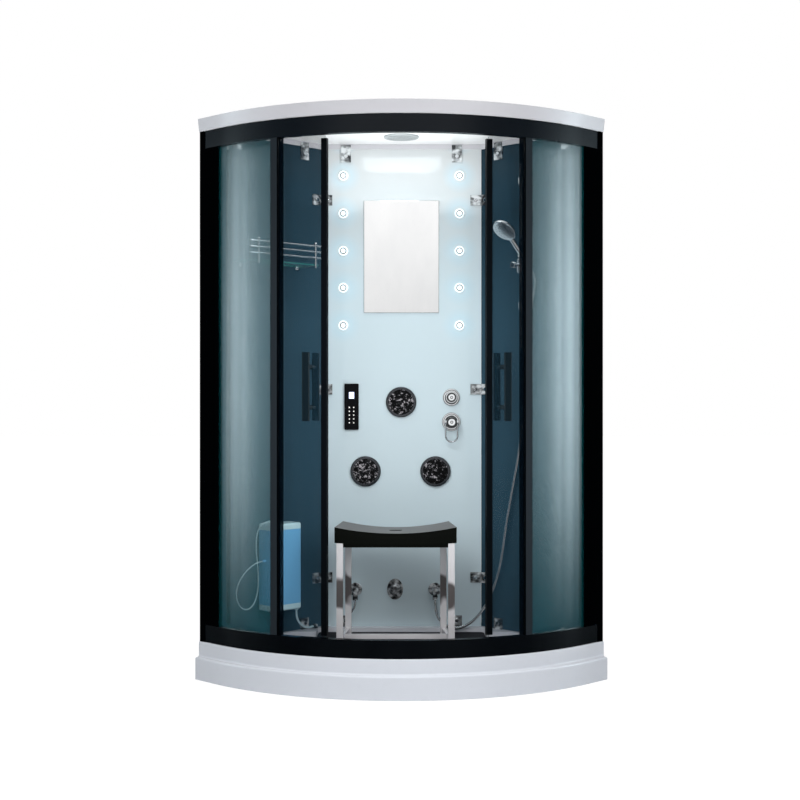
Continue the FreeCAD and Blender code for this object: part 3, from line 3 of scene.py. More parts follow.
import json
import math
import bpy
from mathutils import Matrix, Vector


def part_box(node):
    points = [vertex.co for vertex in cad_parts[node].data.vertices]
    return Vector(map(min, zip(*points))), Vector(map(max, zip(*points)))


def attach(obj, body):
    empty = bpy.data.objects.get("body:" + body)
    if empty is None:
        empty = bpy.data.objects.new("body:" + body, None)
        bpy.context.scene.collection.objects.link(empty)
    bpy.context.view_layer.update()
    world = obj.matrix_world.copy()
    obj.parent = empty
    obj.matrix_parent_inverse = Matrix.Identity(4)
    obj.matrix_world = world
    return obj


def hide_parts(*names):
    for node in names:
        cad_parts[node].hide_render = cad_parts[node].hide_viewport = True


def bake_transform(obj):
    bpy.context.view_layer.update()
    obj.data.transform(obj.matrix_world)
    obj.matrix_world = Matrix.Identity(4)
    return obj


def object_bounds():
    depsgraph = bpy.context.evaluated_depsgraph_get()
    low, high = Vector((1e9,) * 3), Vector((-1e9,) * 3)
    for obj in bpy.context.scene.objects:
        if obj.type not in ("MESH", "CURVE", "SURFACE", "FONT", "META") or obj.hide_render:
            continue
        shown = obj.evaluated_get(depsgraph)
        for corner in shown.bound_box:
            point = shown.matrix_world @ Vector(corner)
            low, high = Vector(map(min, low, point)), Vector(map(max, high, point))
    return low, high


bl_info = {
    "name": "Quadrant Steam Cabin",
    "version": (1, 0, 0),
    "blender": (4, 5, 0),
    "location": "View3D > Sidebar > Steam Cabin",
    "description": "Dresses a corner steam shower cabin and lights it as in a studio",
    "category": "Object",
}

import bmesh
import bpy
from bpy.props import FloatProperty, FloatVectorProperty, PointerProperty
from mathutils import Matrix, Vector

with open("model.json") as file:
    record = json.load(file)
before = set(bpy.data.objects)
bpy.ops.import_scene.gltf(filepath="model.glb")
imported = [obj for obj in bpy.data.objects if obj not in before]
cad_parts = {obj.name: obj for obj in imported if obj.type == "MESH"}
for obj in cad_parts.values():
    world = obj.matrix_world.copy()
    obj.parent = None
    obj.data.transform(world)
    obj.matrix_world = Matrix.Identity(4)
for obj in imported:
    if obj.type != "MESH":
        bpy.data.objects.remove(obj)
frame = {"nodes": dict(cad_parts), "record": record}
CAD_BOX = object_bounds()
NODES = frame["nodes"]
RECORD = frame["record"]
BODY_OF = {node: body for body, held in RECORD["behaviour"]["bodies"].items() for node in held}
SLOT_OF = {part["node"]: part["material_slot"] for part in RECORD["subparts"]}
ARC_CENTRE = next(j for j in RECORD["behaviour"]["joints"] if j["name"] == "left_door_slide")["pos_m"]
ARC_AXIS = (ARC_CENTRE[0], ARC_CENTRE[1], 0.0)
CORNER = Vector((0, CAD_BOX[1][1], 0))


# ---- sizes and colours --------------------------------------------------------------------

def colour(name, description, value):
    return FloatVectorProperty(
        name=name, description=description, subtype="COLOR", size=3, min=0, max=1, default=value)


def metres(name, description, value):
    return FloatProperty(name=name, description=description, unit="LENGTH", min=0, default=value)


class CabinColours(bpy.types.PropertyGroup):
    """Colours of the cabin's finishes."""
    tray: colour("Tray", "Gel coat of the tray", (0.575, 0.600, 0.648))
    cover: colour("Roof", "Moulded roof and ceiling", (0.505, 0.505, 0.535))
    board: colour("Floor board", "Slatted floor grid", (0.010, 0.010, 0.013))
    lacquer: colour("Frame", "Black lacquer of the rails and posts", (0.0012, 0.0018, 0.0026))
    veil: colour("Fixed glass", "Blue-green tint of the fixed glass", (0.003, 0.098, 0.116))
    door_veil: colour("Door glass", "Blue tint of the doors' glass", (0.012, 0.036, 0.056))
    # partly painted sheen: the mid posts' grey stands partly for the light their fronts catch
    post: colour("Mid posts", "Dark grey of the mid posts", (0.012, 0.016, 0.020))
    wall: colour("Side glass", "Back-painted glass along the walls", (0.027, 0.060, 0.086))
    panel: colour("Centre panel", "Back-painted glass across the corner", (0.510, 0.618, 0.664))
    # painted light: near the ceiling the panel is painted whiter, as in the ceiling lamp's light, and a
    # little darker to offset that lamp's real light
    panel_top_painted_light: colour("Centre panel above", "The same, near the ceiling", (0.52, 0.55, 0.558))
    # painted light: the halo round the wall lamps is painted into the centre panel's colour
    halo: colour("Lamp halo", "Tint of the panel round the wall lamps", (0.42, 0.60, 0.69))
    chrome: colour("Chrome", "Polished fittings", (0.80, 0.82, 0.84))
    dark_chrome: colour("Dark chrome", "Jets and grips", (0.055, 0.058, 0.064))
    grip: colour("Grips", "Grips of the doors", (0.003, 0.007, 0.010))
    case: colour("Generator", "Steam generator's case", (0.190, 0.540, 0.900))
    cap: colour("Generator covers", "Pale top and bottom covers", (0.620, 0.900, 1.0))
    # painted light: the saddle is black, and its top is painted paler where light falls on it
    seat_lit_top: colour("Seat", "Top of the stool's saddle", (0.115, 0.110, 0.108))
    seat_edge: colour("Seat edge", "Black edge of the saddle", (0.0010, 0.0014, 0.0008))
    glow: colour("Lamps", "Light of the lamps", (0.90, 0.97, 1.0))


class CabinSizes(bpy.types.PropertyGroup):
    """Sizes of what is modelled here."""
    shower_hose: metres("Shower hose", "Diameter of the hand shower's hose", 0.012)
    left_hose: metres("Left hose", "Diameter of the short hose", 0.010)
    generator_hose: metres("Generator hose", "Diameter of the generator's hose", 0.008)
    cable: metres("Cable", "Diameter of the generator's cable", 0.0045)
    key: metres("Key mark", "Width of a mark on the touch keys", 0.0054)
    lamp_power: FloatProperty(
        name="Ceiling lamp", description="Strength of the ceiling lamp's glow", min=0, default=5.0)


# ---- places and tones that follow from the cabin, in metres ---------------------------------

LIGHT_X = 0.241                         # the wall lamps stand in two columns, this far from the middle
LIGHT_HEIGHTS = (1.380, 1.536, 1.689, 1.844, 2.001)
RING_RADIUS, RING_BEAD = 0.0118, 0.0019
# painted light: HALO_REACH sizes the halo painted into the centre panel round each wall lamp
HALO_REACH = 0.1                        # length of the halo's ramp from a lamp's middle
HALO_STANDOFF = 0.034                   # of the halo's light, in front of the panel
PANEL_FRONT = 0.236

# painted shade: dark strips beside the mid posts, where the door glass shows no reflection
SHADE_STRIP_FROM, SHADE_STRIP_TO = 26.75, 27.95       # degrees from the middle of the curved front
SHADE_STRIP_RADIUS, SHADE_STRIP_THICK = 0.9595, 0.0015
SHADE_STRIP_STEPS = 4
SHADE_STRIP_GAP = 0.001                        # between a strip's end and the rail

DISPLAY_SIZE = (0.021, 0.0006, 0.027)
DISPLAY_RISE, DISPLAY_DEPTH = 0.047, 0.0008     # from the touch panel's middle and front
KEY_ROWS, KEY_PITCH = 5, 0.0158
KEY_SIDE, KEY_DROP, KEY_DEPTH = 0.0091, 0.003, 0.0002
KEY_THICK = 0.0006

HOSE_PITCH = 0.0032                     # of the wound metal strip

# distance from the middle, as a share of the reach, and tone of the painted reflection on the turned steps
KNOB_PAINTED_RINGS = (
    (0.0, 1.1), (0.14, 0.1), (0.22, 1.1), (0.34, 0.9), (0.40, 0.03), (0.52, 0.05), (0.6, 0.9), (0.7, 0.3))
ROSETTE_PAINTED_RINGS = ((0.50, 0.04), (0.66, 0.08), (0.74, 1.1), (0.83, 0.10), (0.92, 1.0), (1.0, 0.25))


# ---- shader arithmetic --------------------------------------------------------------------

class Signal:
    """A node's output, on which Python arithmetic adds Math nodes."""

    def __init__(self, tree, socket):
        self.tree = tree
        self.socket = socket

    def maths(self, operation, *others):
        """A Math node whose first value is this output."""
        node = self.tree.nodes.new("ShaderNodeMath")
        node.operation = operation
        for entry, value in zip(node.inputs, (self, *others)):
            connect(self.tree, entry, value)
        return Signal(self.tree, node.outputs[0])

    def __add__(self, other):
        return self.maths("ADD", other)

    __radd__ = __add__

    def __sub__(self, other):
        return self.maths("SUBTRACT", other)

    def __rsub__(self, other):
        return self.maths("MULTIPLY", -1.0) + other

    def __mul__(self, other):
        return self.maths("MULTIPLY", other)

    __rmul__ = __mul__

    def __pow__(self, other):
        return self.maths("POWER", other)

    def __abs__(self):
        return self.maths("ABSOLUTE")

    def above(self, limit):
        return self.maths("GREATER_THAN", limit)

    def below(self, limit):
        return self.maths("LESS_THAN", limit)

    def excess(self, limit):
        """How far this is over a limit, and nothing under it."""
        return (self - limit).maths("MAXIMUM", 0.0)

    def capped(self, limit):
        return self.maths("MINIMUM", limit)


def connect(tree, entry, value):
    if isinstance(value, Signal):
        tree.links.new(value.socket, entry)
    elif hasattr(entry.default_value, "__len__") and len(entry.default_value) == 4 and len(value) == 3:
        entry.default_value = (*value, 1.0)
    else:
        entry.default_value = value


class Finish:
    """A material whose nodes end in one Principled shader."""

    def __init__(self, name):
        self.material = bpy.data.materials.new(name)
        self.material.use_nodes = True
        self.tree = self.material.node_tree
        self.tree.nodes.clear()
        self.place = self.node("TexCoord", out="Object")

    def node(self, kind, settings=None, entries=None, out=0):
        """Add a node: its settings first, then its sockets' values or links."""
        node = self.tree.nodes.new("ShaderNode" + kind)
        for key, value in (settings or {}).items():
            if key == "stops":
                set_stops(node.color_ramp, value)
            else:
                setattr(node, key, value)
        for key, value in (entries or {}).items():
            connect(self.tree, node.inputs[key], value)
        return Signal(self.tree, node.outputs[out])

    def noise(self, scale, detail=3.0, stretch=(1, 1, 1), roughness=0.5):
        where = self.node("Mapping", entries={"Vector": self.place, "Scale": stretch})
        return self.node("TexNoise", entries={
            "Vector": where, "Scale": scale, "Detail": detail, "Roughness": roughness})

    def blend(self, amount, first, second):
        """Mix two colours."""
        return self.node("Mix", {"data_type": "RGBA"}, {0: amount, 6: first, 7: second}, out=2)

    def ramp(self, value, stops):
        return self.node("ValToRGB", {"stops": stops}, {"Fac": value})

    def level(self, value, stops):
        """A ramp of plain numbers."""
        ramp = self.ramp(value, [(position, (number,) * 3) for position, number in stops])
        return self.node("SeparateColor", entries={0: ramp}, out=0)

    def scaled(self, tone, factor):
        """A linked colour made darker or paler."""
        return self.node("VectorMath", {"operation": "SCALE"}, {0: tone, "Scale": factor})

    def axis(self, letter):
        return self.node("SeparateXYZ", entries={0: self.place}, out=letter)

    def upward(self):
        """How far the surface faces up: from 1 down to -1 for an underside."""
        normal = self.node("NewGeometry", out="Normal")
        return self.node("SeparateXYZ", entries={0: normal}, out="Z")

    def radial(self):
        """1 where the surface faces along the curved front's radius, inwards or outwards."""
        normal = self.node("NewGeometry", out="Normal")
        spoke = self.node("VectorMath", {"operation": "SUBTRACT"}, {0: self.place, 1: ARC_AXIS})
        spoke = self.node("VectorMath", {"operation": "MULTIPLY"}, {0: spoke, 1: (1, 1, 0)})
        spoke = self.node("VectorMath", {"operation": "NORMALIZE"}, {0: spoke})
        facing = self.node("VectorMath", {"operation": "DOT_PRODUCT"}, {0: spoke, 1: normal}, out="Value")
        return abs(facing).above(0.72)

    def bump(self, height, strength, distance=0.001):
        return self.node("Bump", entries={
            "Height": height, "Strength": strength, "Distance": distance}, out="Normal")

    def close(self, entries):
        """End in the Principled shader."""
        shader = self.node("BsdfPrincipled", entries=entries)
        output = self.tree.nodes.new("ShaderNodeOutputMaterial")
        self.tree.links.new(shader.socket, output.inputs["Surface"])
        return self.material


def set_stops(ramp, stops):
    while len(ramp.elements) < len(stops):
        ramp.elements.new(0.5)
    for element, (position, value) in zip(ramp.elements, stops):
        element.position = position
        element.color = (*value, 1.0)


def shade(value, factor):
    return tuple(min(1.0, channel * factor) for channel in value)


# ---- finishes -----------------------------------------------------------------------------

def gel_coat(name, base, roughness=0.22, dirt=0.05, under=None):
    """Glossy moulding: faint cloudiness, orange peel, a little dust and, if given, another underside colour,
    which on the roof is painted light.
    """
    finish = Finish(name)
    clouds = finish.noise(2.4, 4)
    dust = finish.noise(38, 6)
    tone = finish.blend(clouds, shade(base, 0.955), shade(base, 1.03))
    tone = finish.blend(dust.excess(0.56) * (dirt * 14), tone, shade(base, 0.80))
    if under:
        # painted light: a given underside colour; the roof's paler ceiling stands in for the lamps' light on
        # it
        tone = finish.blend(finish.upward().below(-0.6), tone, under)
    peel = finish.noise(260, 2)
    return finish.close({
        "Base Color": tone, "Roughness": dust * 0.10 + (roughness - 0.05),
        "Coat Weight": 0.15, "Coat Roughness": 0.1, "Normal": finish.bump(peel, 0.035)})


def lacquer(name, base, roughness=0.2, shine=0.1):
    """Black coated metal: soft wipe marks and a fine grain."""
    finish = Finish(name)
    wipe = finish.noise(5, 5, (1, 1, 0.12))
    specks = finish.noise(900, 1)
    tone = finish.blend(wipe, shade(base, 0.8), shade(base, 1.5))
    return finish.close({
        "Base Color": tone, "Roughness": wipe * 0.14 + (roughness - 0.06),
        "Specular IOR Level": shine, "Normal": finish.bump(specks, 0.02)})


def polished(name, base, roughness=0.07, brushed=0.0, along=(1, 1, 1)):
    """Plated metal: thin smears, water spots and, where it is brushed, fine lines."""
    finish = Finish(name)
    smear = finish.noise(9, 5, (1, 1, 0.4))
    spots = finish.node("TexVoronoi", {"feature": "F1"}, {"Vector": finish.place, "Scale": 160.0})
    lines = finish.noise(70, 3, along)
    tone = finish.blend(smear, shade(base, 0.9), shade(base, 1.1))
    gloss = smear * 0.07 + (roughness - 0.03) + (1 - (spots * 5).capped(1.0)) * 0.05
    if brushed:
        gloss = gloss + lines * brushed
    return finish.close({
        "Base Color": tone, "Metallic": 1.0, "Roughness": gloss,
        "Normal": finish.bump(lines if brushed else smear, 0.05 if brushed else 0.015)})


def speckled_plate(name, base):
    """A black plated nozzle plate with small pale speckles."""
    finish = Finish(name)
    marks = finish.noise(60, 3)
    fine = finish.noise(150, 4)
    light = finish.ramp(marks * 0.45 + fine * 0.55, [
        (0.525, shade(base, 0.08)), (0.56, shade(base, 1.2)), (0.60, (0.50, 0.47, 0.50))])
    return finish.close({
        "Base Color": light, "Metallic": 0.6, "Roughness": fine * 0.2 + 0.2, "Specular IOR Level": 0.1,
        "Normal": finish.bump(marks, 0.3, 0.002)})


def patchy_chrome(name, light, dark, scale=30):
    """Plating whose colour holds painted pale and dark reflections side by side."""
    finish = Finish(name)
    patches = finish.noise(scale, 2, (1, 1, 1.4))
    # painted reflection: pale and dark patches of the surroundings
    tone = finish.ramp(patches, [(0.38, dark), (0.50, shade(light, 0.38)), (0.62, light)])
    return finish.close({
        "Base Color": tone, "Metallic": 0.35, "Roughness": patches * 0.1 + 0.1,
        "Normal": finish.bump(patches, 0.02)})


def ringed_chrome(name, base, centre, reach, stops, apart=0.0):
    """Turned and plated metal, whose rounded steps show painted pale and dark reflection rings.

    The rings run round the centre, or round a pair of middles that far above and below it.
    """
    finish = Finish(name)
    rise = abs(finish.axis("Z") - centre.z) - apart
    away = ((finish.axis("X") - centre.x) ** 2 + rise ** 2) ** 0.5
    patches = finish.noise(42, 2)
    where = away * (1 / reach) + (patches - 0.5) * 0.10
    # painted reflection: pale and dark rings in the colour
    tone = finish.ramp(where, [(position, shade(base, value)) for position, value in stops])
    return finish.close({
        "Base Color": tone, "Metallic": 0.35, "Roughness": patches * 0.1 + 0.08,
        "Normal": finish.bump(patches, 0.01)})


def post_finish(name, face, side):
    """A coated post: dark grey on its front, a grey that is partly painted sheen, and black on its flanks."""
    finish = Finish(name)
    wipe = finish.noise(5, 5, (1, 1, 0.12))
    tone = finish.blend(wipe, shade(face, 0.8), shade(face, 1.4))
    return finish.close({
        "Base Color": finish.blend(finish.radial(), side, tone), "Roughness": wipe * 0.14 + 0.24,
        "Specular IOR Level": 0.1, "Normal": finish.bump(wipe, 0.02)})


def satin_tube(name):
    """Polished square tube, with the long soft light and dark reflections of its neighbours painted into its
    colour.
    """
    finish = Finish(name)
    streak = finish.noise(4.2, 2, (2.6, 2.6, 1.5))
    lines = finish.noise(90, 2, (1, 1, 0.03))
    # painted reflection: a dark band round 0.335 m up, its edges broken by the streaks
    painted_dark_band = abs(finish.axis("Z") - 0.335) * 3.2
    tone = finish.ramp(streak * 0.5 + lines * 0.03 + painted_dark_band, [
        (0.385, (0.09, 0.08, 0.08)), (0.41, (0.28, 0.27, 0.28)), (0.45, (0.66, 0.65, 0.67))])
    return finish.close({
        "Base Color": tone, "Metallic": 0.35, "Roughness": lines * 0.1 + 0.2,
        "Normal": finish.bump(lines, 0.02)})


def tinted_glass(name, tint, veil, level, edge=(0.03, 0.16, 0.15), curved=True):
    """See-through glass: its body is a thin veil of colour, its cut edges are deep green."""
    finish = Finish(name)
    rim = 1 - (finish.radial() if curved else abs(finish.upward()).above(0.72))
    runs = finish.noise(16, 5, (1, 1, 0.05))
    haze = runs * (veil * 0.3) + (veil * 0.85)
    tone = finish.blend(runs, shade(tint, 0.85), shade(tint, 1.2))
    return finish.close({
        "Base Color": finish.blend(rim, tone, edge), "Alpha": haze + rim * (0.9 - veil),
        "Roughness": runs * 0.03 + 0.02, "IOR": level})


def painted_glass(name, base, shine, painted_shade_gradient=None, streak=0.4):
    """Back-painted glass: gloss in front of an even colour, with faint water runs and, if given, painted
    shade that darkens it towards one height.
    """
    finish = Finish(name)
    runs = finish.noise(12, 6, (1, 1, 0.06))
    clouds = finish.noise(1.6, 3)
    tone = finish.blend(clouds, shade(base, 0.94), shade(base, 1.05))
    tone = finish.blend(runs.excess(0.5) * streak, tone, shade(base, 0.8))
    # painted shade: the colour darkens towards the first height, which for the side glass is the top
    if painted_shade_gradient:
        low, high, darker = painted_shade_gradient
        height = finish.node("MapRange", entries={0: finish.axis("Z"), 1: low, 2: high, 3: 1.0, 4: 0.0})
        tone = finish.blend(height, tone, darker)
    return finish.close({
        "Base Color": tone, "Roughness": runs * 0.08 + 0.03, "Specular IOR Level": shine,
        "Normal": finish.bump(runs, 0.01)})


def lit_glass(name, low_tone, painted_lamp_light_tone, halo):
    """The centre panel: greenish below, painted whiter above as in the ceiling lamp's light, with a painted
    halo round every wall lamp.
    """
    finish = Finish(name)
    runs = finish.noise(12, 6, (1, 1, 0.06))
    clouds = finish.noise(1.6, 3)
    x, z = finish.axis("X"), finish.axis("Z")
    # painted light: the tone turns whiter towards the ceiling lamp
    height = finish.node("MapRange", {"interpolation_type": "SMOOTHSTEP"}, {0: z, 1: 1.45, 2: 2.10})
    tone = finish.blend(height, low_tone, painted_lamp_light_tone)
    tone = finish.blend(clouds, finish.scaled(tone, 0.97), tone)
    # painted light: a soft halo round each wall lamp, painted into the colour
    pitch = (LIGHT_HEIGHTS[-1] - LIGHT_HEIGHTS[0]) / (len(LIGHT_HEIGHTS) - 1)
    step = ((z - LIGHT_HEIGHTS[0]) * (1 / pitch)).maths("ROUND").maths("MAXIMUM", 0.0)
    rise = z - LIGHT_HEIGHTS[0] - step * pitch
    away = ((abs(x) - LIGHT_X) ** 2 + rise ** 2) ** 0.5
    ring = finish.level(away * (1 / HALO_REACH), [(0.0, 0.0), (0.22, 0.2), (0.34, 1.0), (0.75, 0.0)])
    tone = finish.blend(ring * 0.45, tone, halo)
    tone = finish.blend(runs.excess(0.5) * 0.4, tone, low_tone)
    return finish.close({
        "Base Color": tone, "Roughness": runs * 0.08 + 0.03, "Specular IOR Level": 0.45,
        "Normal": finish.bump(runs, 0.01)})


def plastic(name, base, roughness=0.4, grain=420.0, relief=0.1, coat=0.0, shine=0.5):
    """Injection-moulded plastic with a fine grain."""
    finish = Finish(name)
    clouds = finish.noise(11, 4)
    fine = finish.noise(grain, 2)
    tone = finish.blend(clouds, shade(base, 0.88), shade(base, 1.12))
    return finish.close({
        "Base Color": tone, "Roughness": fine * 0.12 + (roughness - 0.06), "Coat Weight": coat,
        "Coat Roughness": 0.08, "Specular IOR Level": shine, "Normal": finish.bump(fine, relief)})


def slatted(name, base):
    """Composite slats: long wood-like grain, worn paler on the walked edges."""
    finish = Finish(name)
    grain = finish.noise(28, 6, (0.06, 1, 1))
    wear = finish.noise(7, 4)
    tone = finish.blend(grain, shade(base, 0.6), shade(base, 1.6))
    tone = finish.blend(wear.excess(0.5), tone, shade(base, 3.2))
    return finish.close({
        "Base Color": tone, "Roughness": grain * 0.2 + 0.5, "Specular IOR Level": 0.12,
        "Normal": finish.bump(grain, 0.25)})


def glowing(name, base, strength, frost=90.0):
    """A frosted lens that is lit from behind."""
    finish = Finish(name)
    frosting = finish.noise(frost, 3)
    tone = finish.blend(frosting, shade(base, 0.9), base)
    return finish.close({
        "Base Color": tone, "Emission Color": tone, "Emission Strength": strength,
        "Roughness": frosting * 0.1 + 0.2, "Normal": finish.bump(frosting, 0.05)})


def wound_metal(name, base, pitch):
    """Metal hose: a narrow strip wound round and round, read along the hose, with painted shade in the
    grooves.
    """
    finish = Finish(name)
    along = finish.node("UVMap", {"uv_map": "along"})
    where = finish.node("SeparateXYZ", entries={0: along}, out="X")
    turns = (where * (math.tau / pitch)).maths("SINE")
    smear = finish.noise(20, 4)
    ridge = turns * 0.5 + 0.5
    # painted shade: the grooves between the turns are darker
    tone = finish.blend(ridge ** 0.6, shade(base, 0.35), shade(base, 1.1))
    return finish.close({
        "Base Color": tone, "Metallic": 1.0, "Roughness": smear * 0.12 + 0.12,
        "Normal": finish.bump(ridge, 0.6, 0.0006)})


def lit_top_seat(name, top, edge):
    """The saddle: a satin top with a fine grain, painted paler as in light from above, and a black edge and
    underside.
    """
    finish = Finish(name)
    # painted light: faces turned upward take the paler top
    facing = finish.upward().above(0.6)
    grain = finish.noise(34, 5, (0.2, 1, 1))
    fine = finish.noise(500, 2)
    lit_skin = finish.blend(grain, shade(top, 0.85), shade(top, 1.15))
    return finish.close({
        "Base Color": finish.blend(facing, edge, lit_skin), "Roughness": facing * 0.12 + grain * 0.08 + 0.2,
        "Specular IOR Level": 0.12, "Normal": finish.bump(fine, 0.05)})


def finishes(colours, sizes):
    """Every finish of the cabin, by the record's slot."""
    chrome = tuple(colours.chrome)
    dark = tuple(colours.dark_chrome)
    black = tuple(colours.lacquer)
    return {
        "white_tray": gel_coat("tray_gel_coat", tuple(colours.tray)),
        # painted light: the roof's pale underside stands in for the lamps lighting the ceiling
        "white_cover": gel_coat("roof_gel_coat", tuple(colours.cover), 0.30, under=(0.84, 0.86, 0.86)),
        "board_grey": slatted("floor_slats", tuple(colours.board)),
        "black_rail": lacquer("rail_lacquer", black),
        "dark_post": lacquer("post_lacquer", shade(black, 0.3), 0.4, 0.0),
        "smoke_glass": tinted_glass("curved_glass", tuple(colours.veil), 0.20, 2.2),
        # painted shade: the side glass is painted darker towards the top
        "dark_glass": painted_glass(
            "side_glass", tuple(colours.wall), 0.08, (2.05, 1.35, shade(colours.wall, 0.5))),
        "white_glass": lit_glass(
            "centre_glass", tuple(colours.panel), tuple(colours.panel_top_painted_light), tuple(colours.halo)),
        "chrome": polished("fittings_chrome", chrome),
        "black_chrome": patchy_chrome("clip_plating", (0.74, 0.78, 0.80), shade(dark, 0.6)),
        "steel_bare": polished("zinc_plating", (0.42, 0.43, 0.44), 0.3, 0.1),
        "blue_case": gel_coat("generator_case_blue", tuple(colours.case), 0.3, 0.02),
        "blue_cap": gel_coat("generator_cover_blue", tuple(colours.cap), 0.3, 0.02),
        "black_plastic": plastic("touch_panel_black", (0.003, 0.003, 0.004), 0.12, 600, 0.02, shine=0.06),
        "grey_plastic": plastic("grey_moulding", (0.16, 0.165, 0.17), 0.45),
        "light_lens": glowing("ceiling_lens", tuple(colours.glow), sizes.lamp_power),
        "jet_black": speckled_plate("jet_plate", dark),
        "mirror": polished("silvered_mirror", (0.93, 0.94, 0.95), 0.035),
        "brass": polished("cast_brass", (0.50, 0.34, 0.12), 0.35, 0.1),
        "copper": polished("drawn_copper", (0.62, 0.27, 0.16), 0.25, 0.08, (1, 1, 0.2)),
        "hose_metal": wound_metal("wound_hose", chrome, HOSE_PITCH),
        "rubber": plastic("black_rubber", (0.008, 0.008, 0.009), 0.6, 300, 0.2),
        "pale_hose": plastic("pale_hose", (0.55, 0.75, 0.82), 0.3, 200, 0.03, 0.5),
        "strip_black": lacquer("door_strip", black, 0.3, 0.05),
        "seat_black": lit_top_seat("saddle", tuple(colours.seat_lit_top), tuple(colours.seat_edge)),
        "clear_glass": tinted_glass("shelf_glass", (0.25, 0.50, 0.52), 0.22, 1.8, curved=False),
        "zinc": polished("galvanised_tube", (0.40, 0.41, 0.42), 0.35, 0.1),
    }


# ---- mesh helpers -------------------------------------------------------------------------

def new_piece(name, shape, material, body, smooth=35.0):
    """Turn a bmesh into a piece that rides on a body, with sharp edges above an angle."""
    limit = math.radians(smooth)
    for face in shape.faces:
        face.smooth = True
    for edge in shape.edges:
        edge.smooth = edge.is_manifold and edge.calc_face_angle(0.0) < limit
    mesh = bpy.data.meshes.new(name)
    shape.to_mesh(mesh)
    shape.free()
    mesh.materials.append(material)
    piece = bpy.data.objects.new(name, mesh)
    bpy.context.scene.collection.objects.link(piece)
    flatten = piece.modifiers.new("flat_faces_stay_flat", "WEIGHTED_NORMAL")
    flatten.keep_sharp = True
    if body:
        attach(piece, body)
    return piece


def dressed(node, material, smooth=35.0):
    """A merged, smooth-shaded copy of a CAD node, which stands for it."""
    shape = bmesh.new()
    shape.from_mesh(NODES[node].data)
    bmesh.ops.remove_doubles(shape, verts=shape.verts, dist=2e-5)
    piece = new_piece(node + "_finished", shape, material, BODY_OF[node], smooth)
    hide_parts(node)
    return piece


def dress_all(nodes, book):
    return [dressed(node, book[SLOT_OF[node]]) for node in nodes]


MATERIALS = {}


def material_book(context):
    """The finishes, which are made once, at the first operator that asks for them."""
    scene = context.scene
    if not MATERIALS:
        MATERIALS.update(finishes(scene.cabin_colours, scene.cabin_sizes))
    return MATERIALS


def smooth_line(points):
    """Points along the NURBS curve whose control points these are."""
    curve = bpy.data.curves.new("route", "CURVE")
    curve.dimensions = "3D"
    add_spline(curve, points)
    guide = bpy.data.objects.new("route", curve)
    bpy.context.scene.collection.objects.link(guide)
    bpy.context.view_layer.update()
    mesh = bpy.data.meshes.new_from_object(guide)
    line = [vertex.co.copy() for vertex in mesh.vertices]
    bpy.data.objects.remove(guide)
    bpy.data.curves.remove(curve)
    bpy.data.meshes.remove(mesh)
    return line


def add_spline(curve, points):
    spline = curve.splines.new("NURBS")
    spline.points.add(len(points) - 1)
    for point, place in zip(spline.points, points):
        point.co = (*place, 1.0)
    spline.order_u = 3
    spline.use_endpoint_u = True
    spline.resolution_u = 12


def hose_mesh(line, diameter, sides=12):
    """A closed tube along a line, with the distance along it in a UV map."""
    shape = bmesh.new()
    along = shape.loops.layers.uv.new("along")
    travelled = [0.0]
    for first, second in zip(line, line[1:]):
        travelled.append(travelled[-1] + (second - first).length)
    up = Vector((1, 0, 0))
    rings = []
    for index, point in enumerate(line):
        ahead = (line[min(index + 1, len(line) - 1)] - line[max(index - 1, 0)]).normalized()
        up = (up - ahead * up.dot(ahead)).normalized()
        turn = Matrix((ahead.cross(up), up, ahead)).transposed().to_4x4()
        ring = bmesh.ops.create_circle(
            shape, segments=sides, radius=diameter / 2, matrix=Matrix.Translation(point) @ turn)
        rings.append(ring["verts"])
    for first, second, start, end in zip(rings, rings[1:], travelled, travelled[1:]):
        for index in range(sides):
            after = (index + 1) % sides
            face = shape.faces.new((first[index], first[after], second[after], second[index]))
            for loop, value in zip(face.loops, (start, start, end, end)):
                loop[along].uv = (value, index / sides)
    bmesh.ops.holes_fill(shape, edges=[e for e in shape.edges if e.is_boundary], sides=0)
    bmesh.ops.recalc_face_normals(shape, faces=shape.faces)
    return shape


def add_ring(shape, place, radius, thick, sides=28, section=8):
    """A round bead of a given middle radius, lying in the XY plane of its placement."""
    made = bmesh.ops.create_circle(
        shape, segments=section, radius=thick,
        matrix=place @ Matrix.Translation((radius, 0, 0)) @ Matrix.Rotation(math.pi / 2, 4, "X"))
    edges = list({edge for vertex in made["verts"] for edge in vertex.link_edges})
    bmesh.ops.spin(shape, geom=made["verts"] + edges, angle=math.tau, steps=sides, use_merge=True,
                   axis=place.to_3x3() @ Vector((0, 0, 1)), cent=place.translation)
    bmesh.ops.recalc_face_normals(shape, faces=shape.faces)


def arc_point(turn, radius, height):
    """A place round the curved front's centre: radians from its middle, to the right, and a radius."""
    return (radius * math.sin(turn), ARC_CENTRE[1] - radius * math.cos(turn), height)


def corner_point(side, along, off, height):
    """A place measured along a wall from the room's corner and off that wall."""
    half = math.sqrt(0.5)
    return (side * (along - off) * half, CORNER.y - (along + off) * half, height)


# ---- hoses and cable: the same points as in the part's source, in metres -------------------

